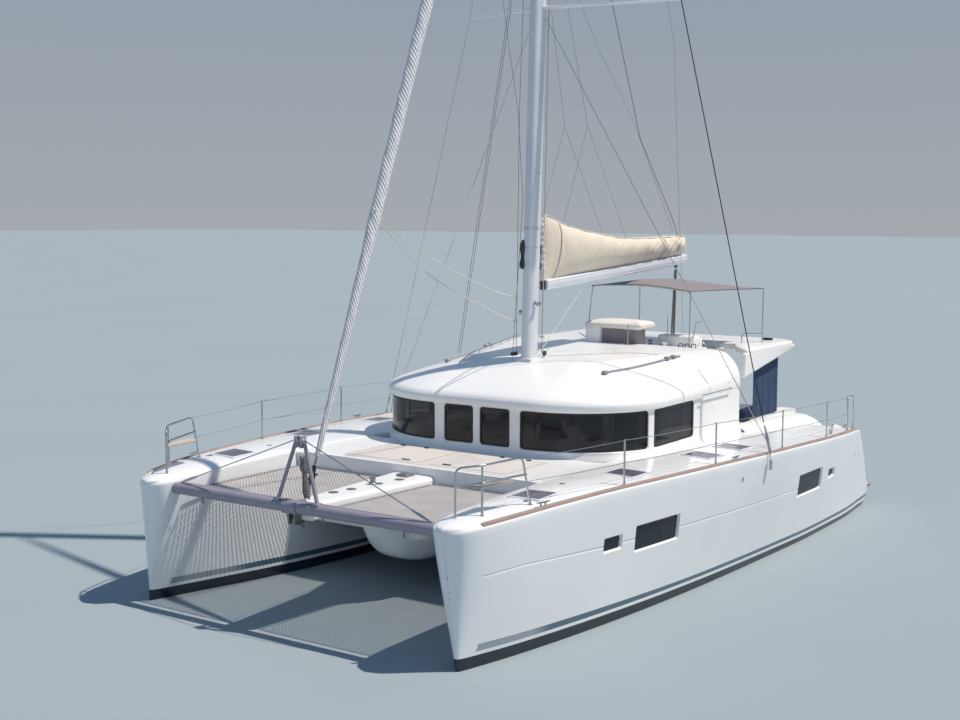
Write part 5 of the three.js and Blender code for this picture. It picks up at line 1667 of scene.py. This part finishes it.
def area(points):
    """The area of a grid of points."""
    u, v = np.diff(points, axis=0)[:, :-1], np.diff(points, axis=1)[:-1]
    return float(np.linalg.norm(np.cross(u, v), axis=-1).sum())


def cloth(name, points, material, replaces):
    """A sheet of cloth 1.5 mm thick."""
    made = piece(name, grid(points), material, replaces=replaces, crease=80)
    thick = made.modifiers.new("thickness", "SOLIDIFY")
    thick.thickness, thick.offset = 0.0015, 0.0


share = np.linspace(0, 1, 12)
bow_bar = np.column_stack([-0.69 + 1.96 * share, np.full(12, 2.64), BAR_Z + fore_arch(share)])
fore_bar = bent([[-0.80, 2.62, 3.06], *bow_bar.tolist(), [1.27, 2.62, 3.06]], 0.05)
ways = [bent([[x, 4.50, 3.06], [x, 4.50, 4.04]], 0.12) for x in (-0.70, 1.85)]
edges = [[[*CANOPY[i], EDGE_Z], [*CANOPY[j], EDGE_Z]] for i, j in ((1, 2), (2, 3))]
edges.append([[*CANOPY[3], EDGE_Z], [*CANOPY[0], CORNER_Z]])
frame_bars = together(*[tube(way, 0.0115, 10) for way in [fore_bar, *ways, *edges]])
piece("bimini_bars", frame_bars, steel, replaces=["bimini_frame"])
cloth("canopy_cloth", canopy(), taupe_canvas, ["bimini_canopy"])
y, z = np.meshgrid(np.linspace(3.46, 4.59, 60), np.linspace(1.78, 2.89, 30), indexing="ij")
curtain = np.stack([2.135 + 0.004 * np.sin(y * 21) * (2.95 - z), y, z], -1)
cloth("side_curtain_cloth", curtain, navy_canvas,
      ["side_curtain"])
RODS = [
    # path, radius
    ([[0.86, 2.62, 3.06], [0.84, 2.62, 3.62]], 0.008),
    ([[1.30, 2.72, 3.24], [1.34, 2.74, 3.50], [1.44, 2.78, 3.52]], 0.010),
    (bent([[1.62, 4.10, 3.06], [1.62, 4.10, 3.22], [1.90, 4.40, 3.22], [1.90, 4.40, 3.06]], 0.05), 0.011),
    ([[-0.62, 2.56, 3.06], [-0.95, 2.60, 3.22]], 0.010),
    ([[0.50, 1.79, 3.08], [0.50, 1.79, 3.50]], 0.007),
]
rods = [tube(path, radius, 8) for path, radius in RODS]
helm_winches = [winch(0.30, 2.62, 3.06), winch(0.42, 2.80, 3.06, size=0.8)]
piece("flybridge_fittings", together(*rods, *helm_winches), steel)
piece("flybridge_details", block([1.70, 4.86, 3.06], [1.88, 4.96, 3.10], 0.015), navy_pad)

# Cockpit and the stern

COAMING = [[2.44, 1.0], [5.305, 1.0], [5.305, 1.66], [4.75, 1.725], [4.1, 1.755], [3.4, 1.765],
           [2.44, 1.765]]
pair("coaming_skin", stood(slab(bent(COAMING, 0.10, 6, True), 1.925, 2.34, 0.05)), deck_gelcoat)


def quarter():
    """The moulding between coaming and side deck: it falls from the coaming's top in an S-shaped curve that
    gets wider towards the stern, where it ends in a rounded face."""
    y = np.append(np.linspace(2.46, 5.12, 40), [5.16, 5.18, 5.19])[:, None]
    t = np.linspace(0, 1, 20)[None, :]
    x = 2.30 + through(np.array([2.4, 4.1, 5.2]), np.array([[0.16], [0.42], [1.12]]), y[:, 0]) * t
    top = np.interp(y, [2.46, 3.4, 4.1, 4.75, 5.12, 5.16, 5.18, 5.19],
                    [1.755, 1.755, 1.75, 1.73, 1.70, 1.685, 1.64, 1.4])
    foot = deck_z(x, y) - 0.012
    fall = t ** 1.5
    z = foot + np.maximum(top - foot, 0) * (1 - fall * fall * (3 - 2 * fall))
    return grid(np.stack(np.broadcast_arrays(x, y, z), -1))


pair("coaming_flank", quarter(), deck_gelcoat)
stern = together(block([-2.105, 5.055, 0.75], [2.105, 5.305, 1.645], 0.05),
                 block([0.475, 2.515, 1.0], [1.965, 3.985, 1.955], 0.04),
                 block([0.475, 3.965, 1.0], [1.965, 4.255, 1.625], 0.03),
                 block([0.475, 4.235, 1.0], [1.965, 4.525, 1.315], 0.03))
piece("cockpit_mouldings", stern, deck_gelcoat)
cushion("bench_cushion", [-1.92, 4.50, 1.45], [0.35, 5.0, 1.57], vinyl, 0.055, cell=0.016)
SHOWN = {
    # start of a CAD node's name, its finish
    "bridgedeck": deck_gelcoat,
    "aft_bulkhead": deck_gelcoat,
    "saloon_door": smoked,
    "saloon_settee": seat_cloth,
    "saloon_table": slats,
    "cockpit_table": deck_gelcoat,
    "cockpit_bench": deck_gelcoat,
    "keel": antifoul,
    "rudder": antifoul,
    "saildrive": cast_leg,
    "propeller": propeller_bronze,
}
for shown in [part for part in bpy.context.scene.objects if part.type == "MESH" and not part.hide_render]:
    for start, material in SHOWN.items():
        if shown.name.startswith(start) and not shown.name.endswith(("_skin", "_base")):
            shown.data.materials.clear()
            shown.data.materials.append(material)

# Camera, floor and light

CAMERA_PLACE = (11.496, -18.796, 5.317)
CAMERA_YAW, CAMERA_PITCH, CAMERA_ROLL = -0.590, 0.111, 0.0045
CAMERA_LENS, CAMERA_SHIFT = (50.36, 36.0), (-0.01486, 0.00768)
SUN_FROM = (0.45, 0.29, 1.0)


def look():
    """The camera where the photographer stood, on a boat ahead of the port bow."""
    camera = bpy.data.objects.new("camera", bpy.data.cameras.new("camera"))
    level = math.cos(CAMERA_PITCH)
    ahead = np.array([math.sin(CAMERA_YAW) * level, math.cos(CAMERA_YAW) * level, -math.sin(CAMERA_PITCH)])
    right = np.array([math.cos(CAMERA_YAW), -math.sin(CAMERA_YAW), 0.0])
    up = np.cross(right, ahead)
    across = right * math.cos(CAMERA_ROLL) + up * math.sin(CAMERA_ROLL)
    turn = np.stack([across, np.cross(across, ahead), -ahead], 1)
    camera.matrix_world = Matrix.Translation(CAMERA_PLACE) @ Matrix(turn.tolist()).to_4x4()
    camera.data.lens, camera.data.sensor_width = CAMERA_LENS
    camera.data.shift_x, camera.data.shift_y = CAMERA_SHIFT
    camera.data.clip_start, camera.data.clip_end = 0.5, 900.0
    bpy.context.scene.collection.objects.link(camera)
    bpy.context.scene.camera = camera


def lamp(name, kind, towards, energy, colour, **settings):
    """A light that shines from a direction given by the vector towards it."""
    data = bpy.data.lights.new(name, kind)
    data.energy, data.color = energy, linear(colour)[:3]
    for key, value in settings.items():
        setattr(data, key, value)
    made = bpy.data.objects.new(name, data)
    made.rotation_mode = "QUATERNION"
    made.rotation_quaternion = Vector(towards).to_track_quat("Z", "Y")
    bpy.context.scene.collection.objects.link(made)


look()
# Pale plain floor at the waterline, matt, so that it holds a soft shadow
floor_paint = finish("floor_painted_matt", "93a1a9", 0.9, second="8f9da5", patch=6.0)
plain = np.array([[[x, y, 0.0] for x in (-400, 400)] for y in (-400, 400)], float)
floor = piece("floor", grid(plain), floor_paint, body=None)
world = bpy.data.worlds.new("studio")
world.use_nodes = True
sky = world.node_tree
rise = node(sky, "SeparateXYZ", {0: node(sky, "TexCoord").outputs["Generated"]}).outputs[2]
height_share = node(sky, "MapRange", {"Value": rise, "From Min": 0.0, "From Max": 0.5})
tone = node(sky, "MixRGB", {0: height_share.outputs[0], 1: linear("dbe3ea"), 2: linear("94b6e1")}).outputs[0]
sky.links.new(tone, sky.nodes["Background"].inputs["Color"])
sky.nodes["Background"].inputs["Strength"].default_value = 0.52
bpy.context.scene.world = world
bpy.context.scene.view_settings.view_transform = "Standard"
lamp("sun", "SUN", SUN_FROM, 4.2, "fff3e4", angle=math.radians(0.9))
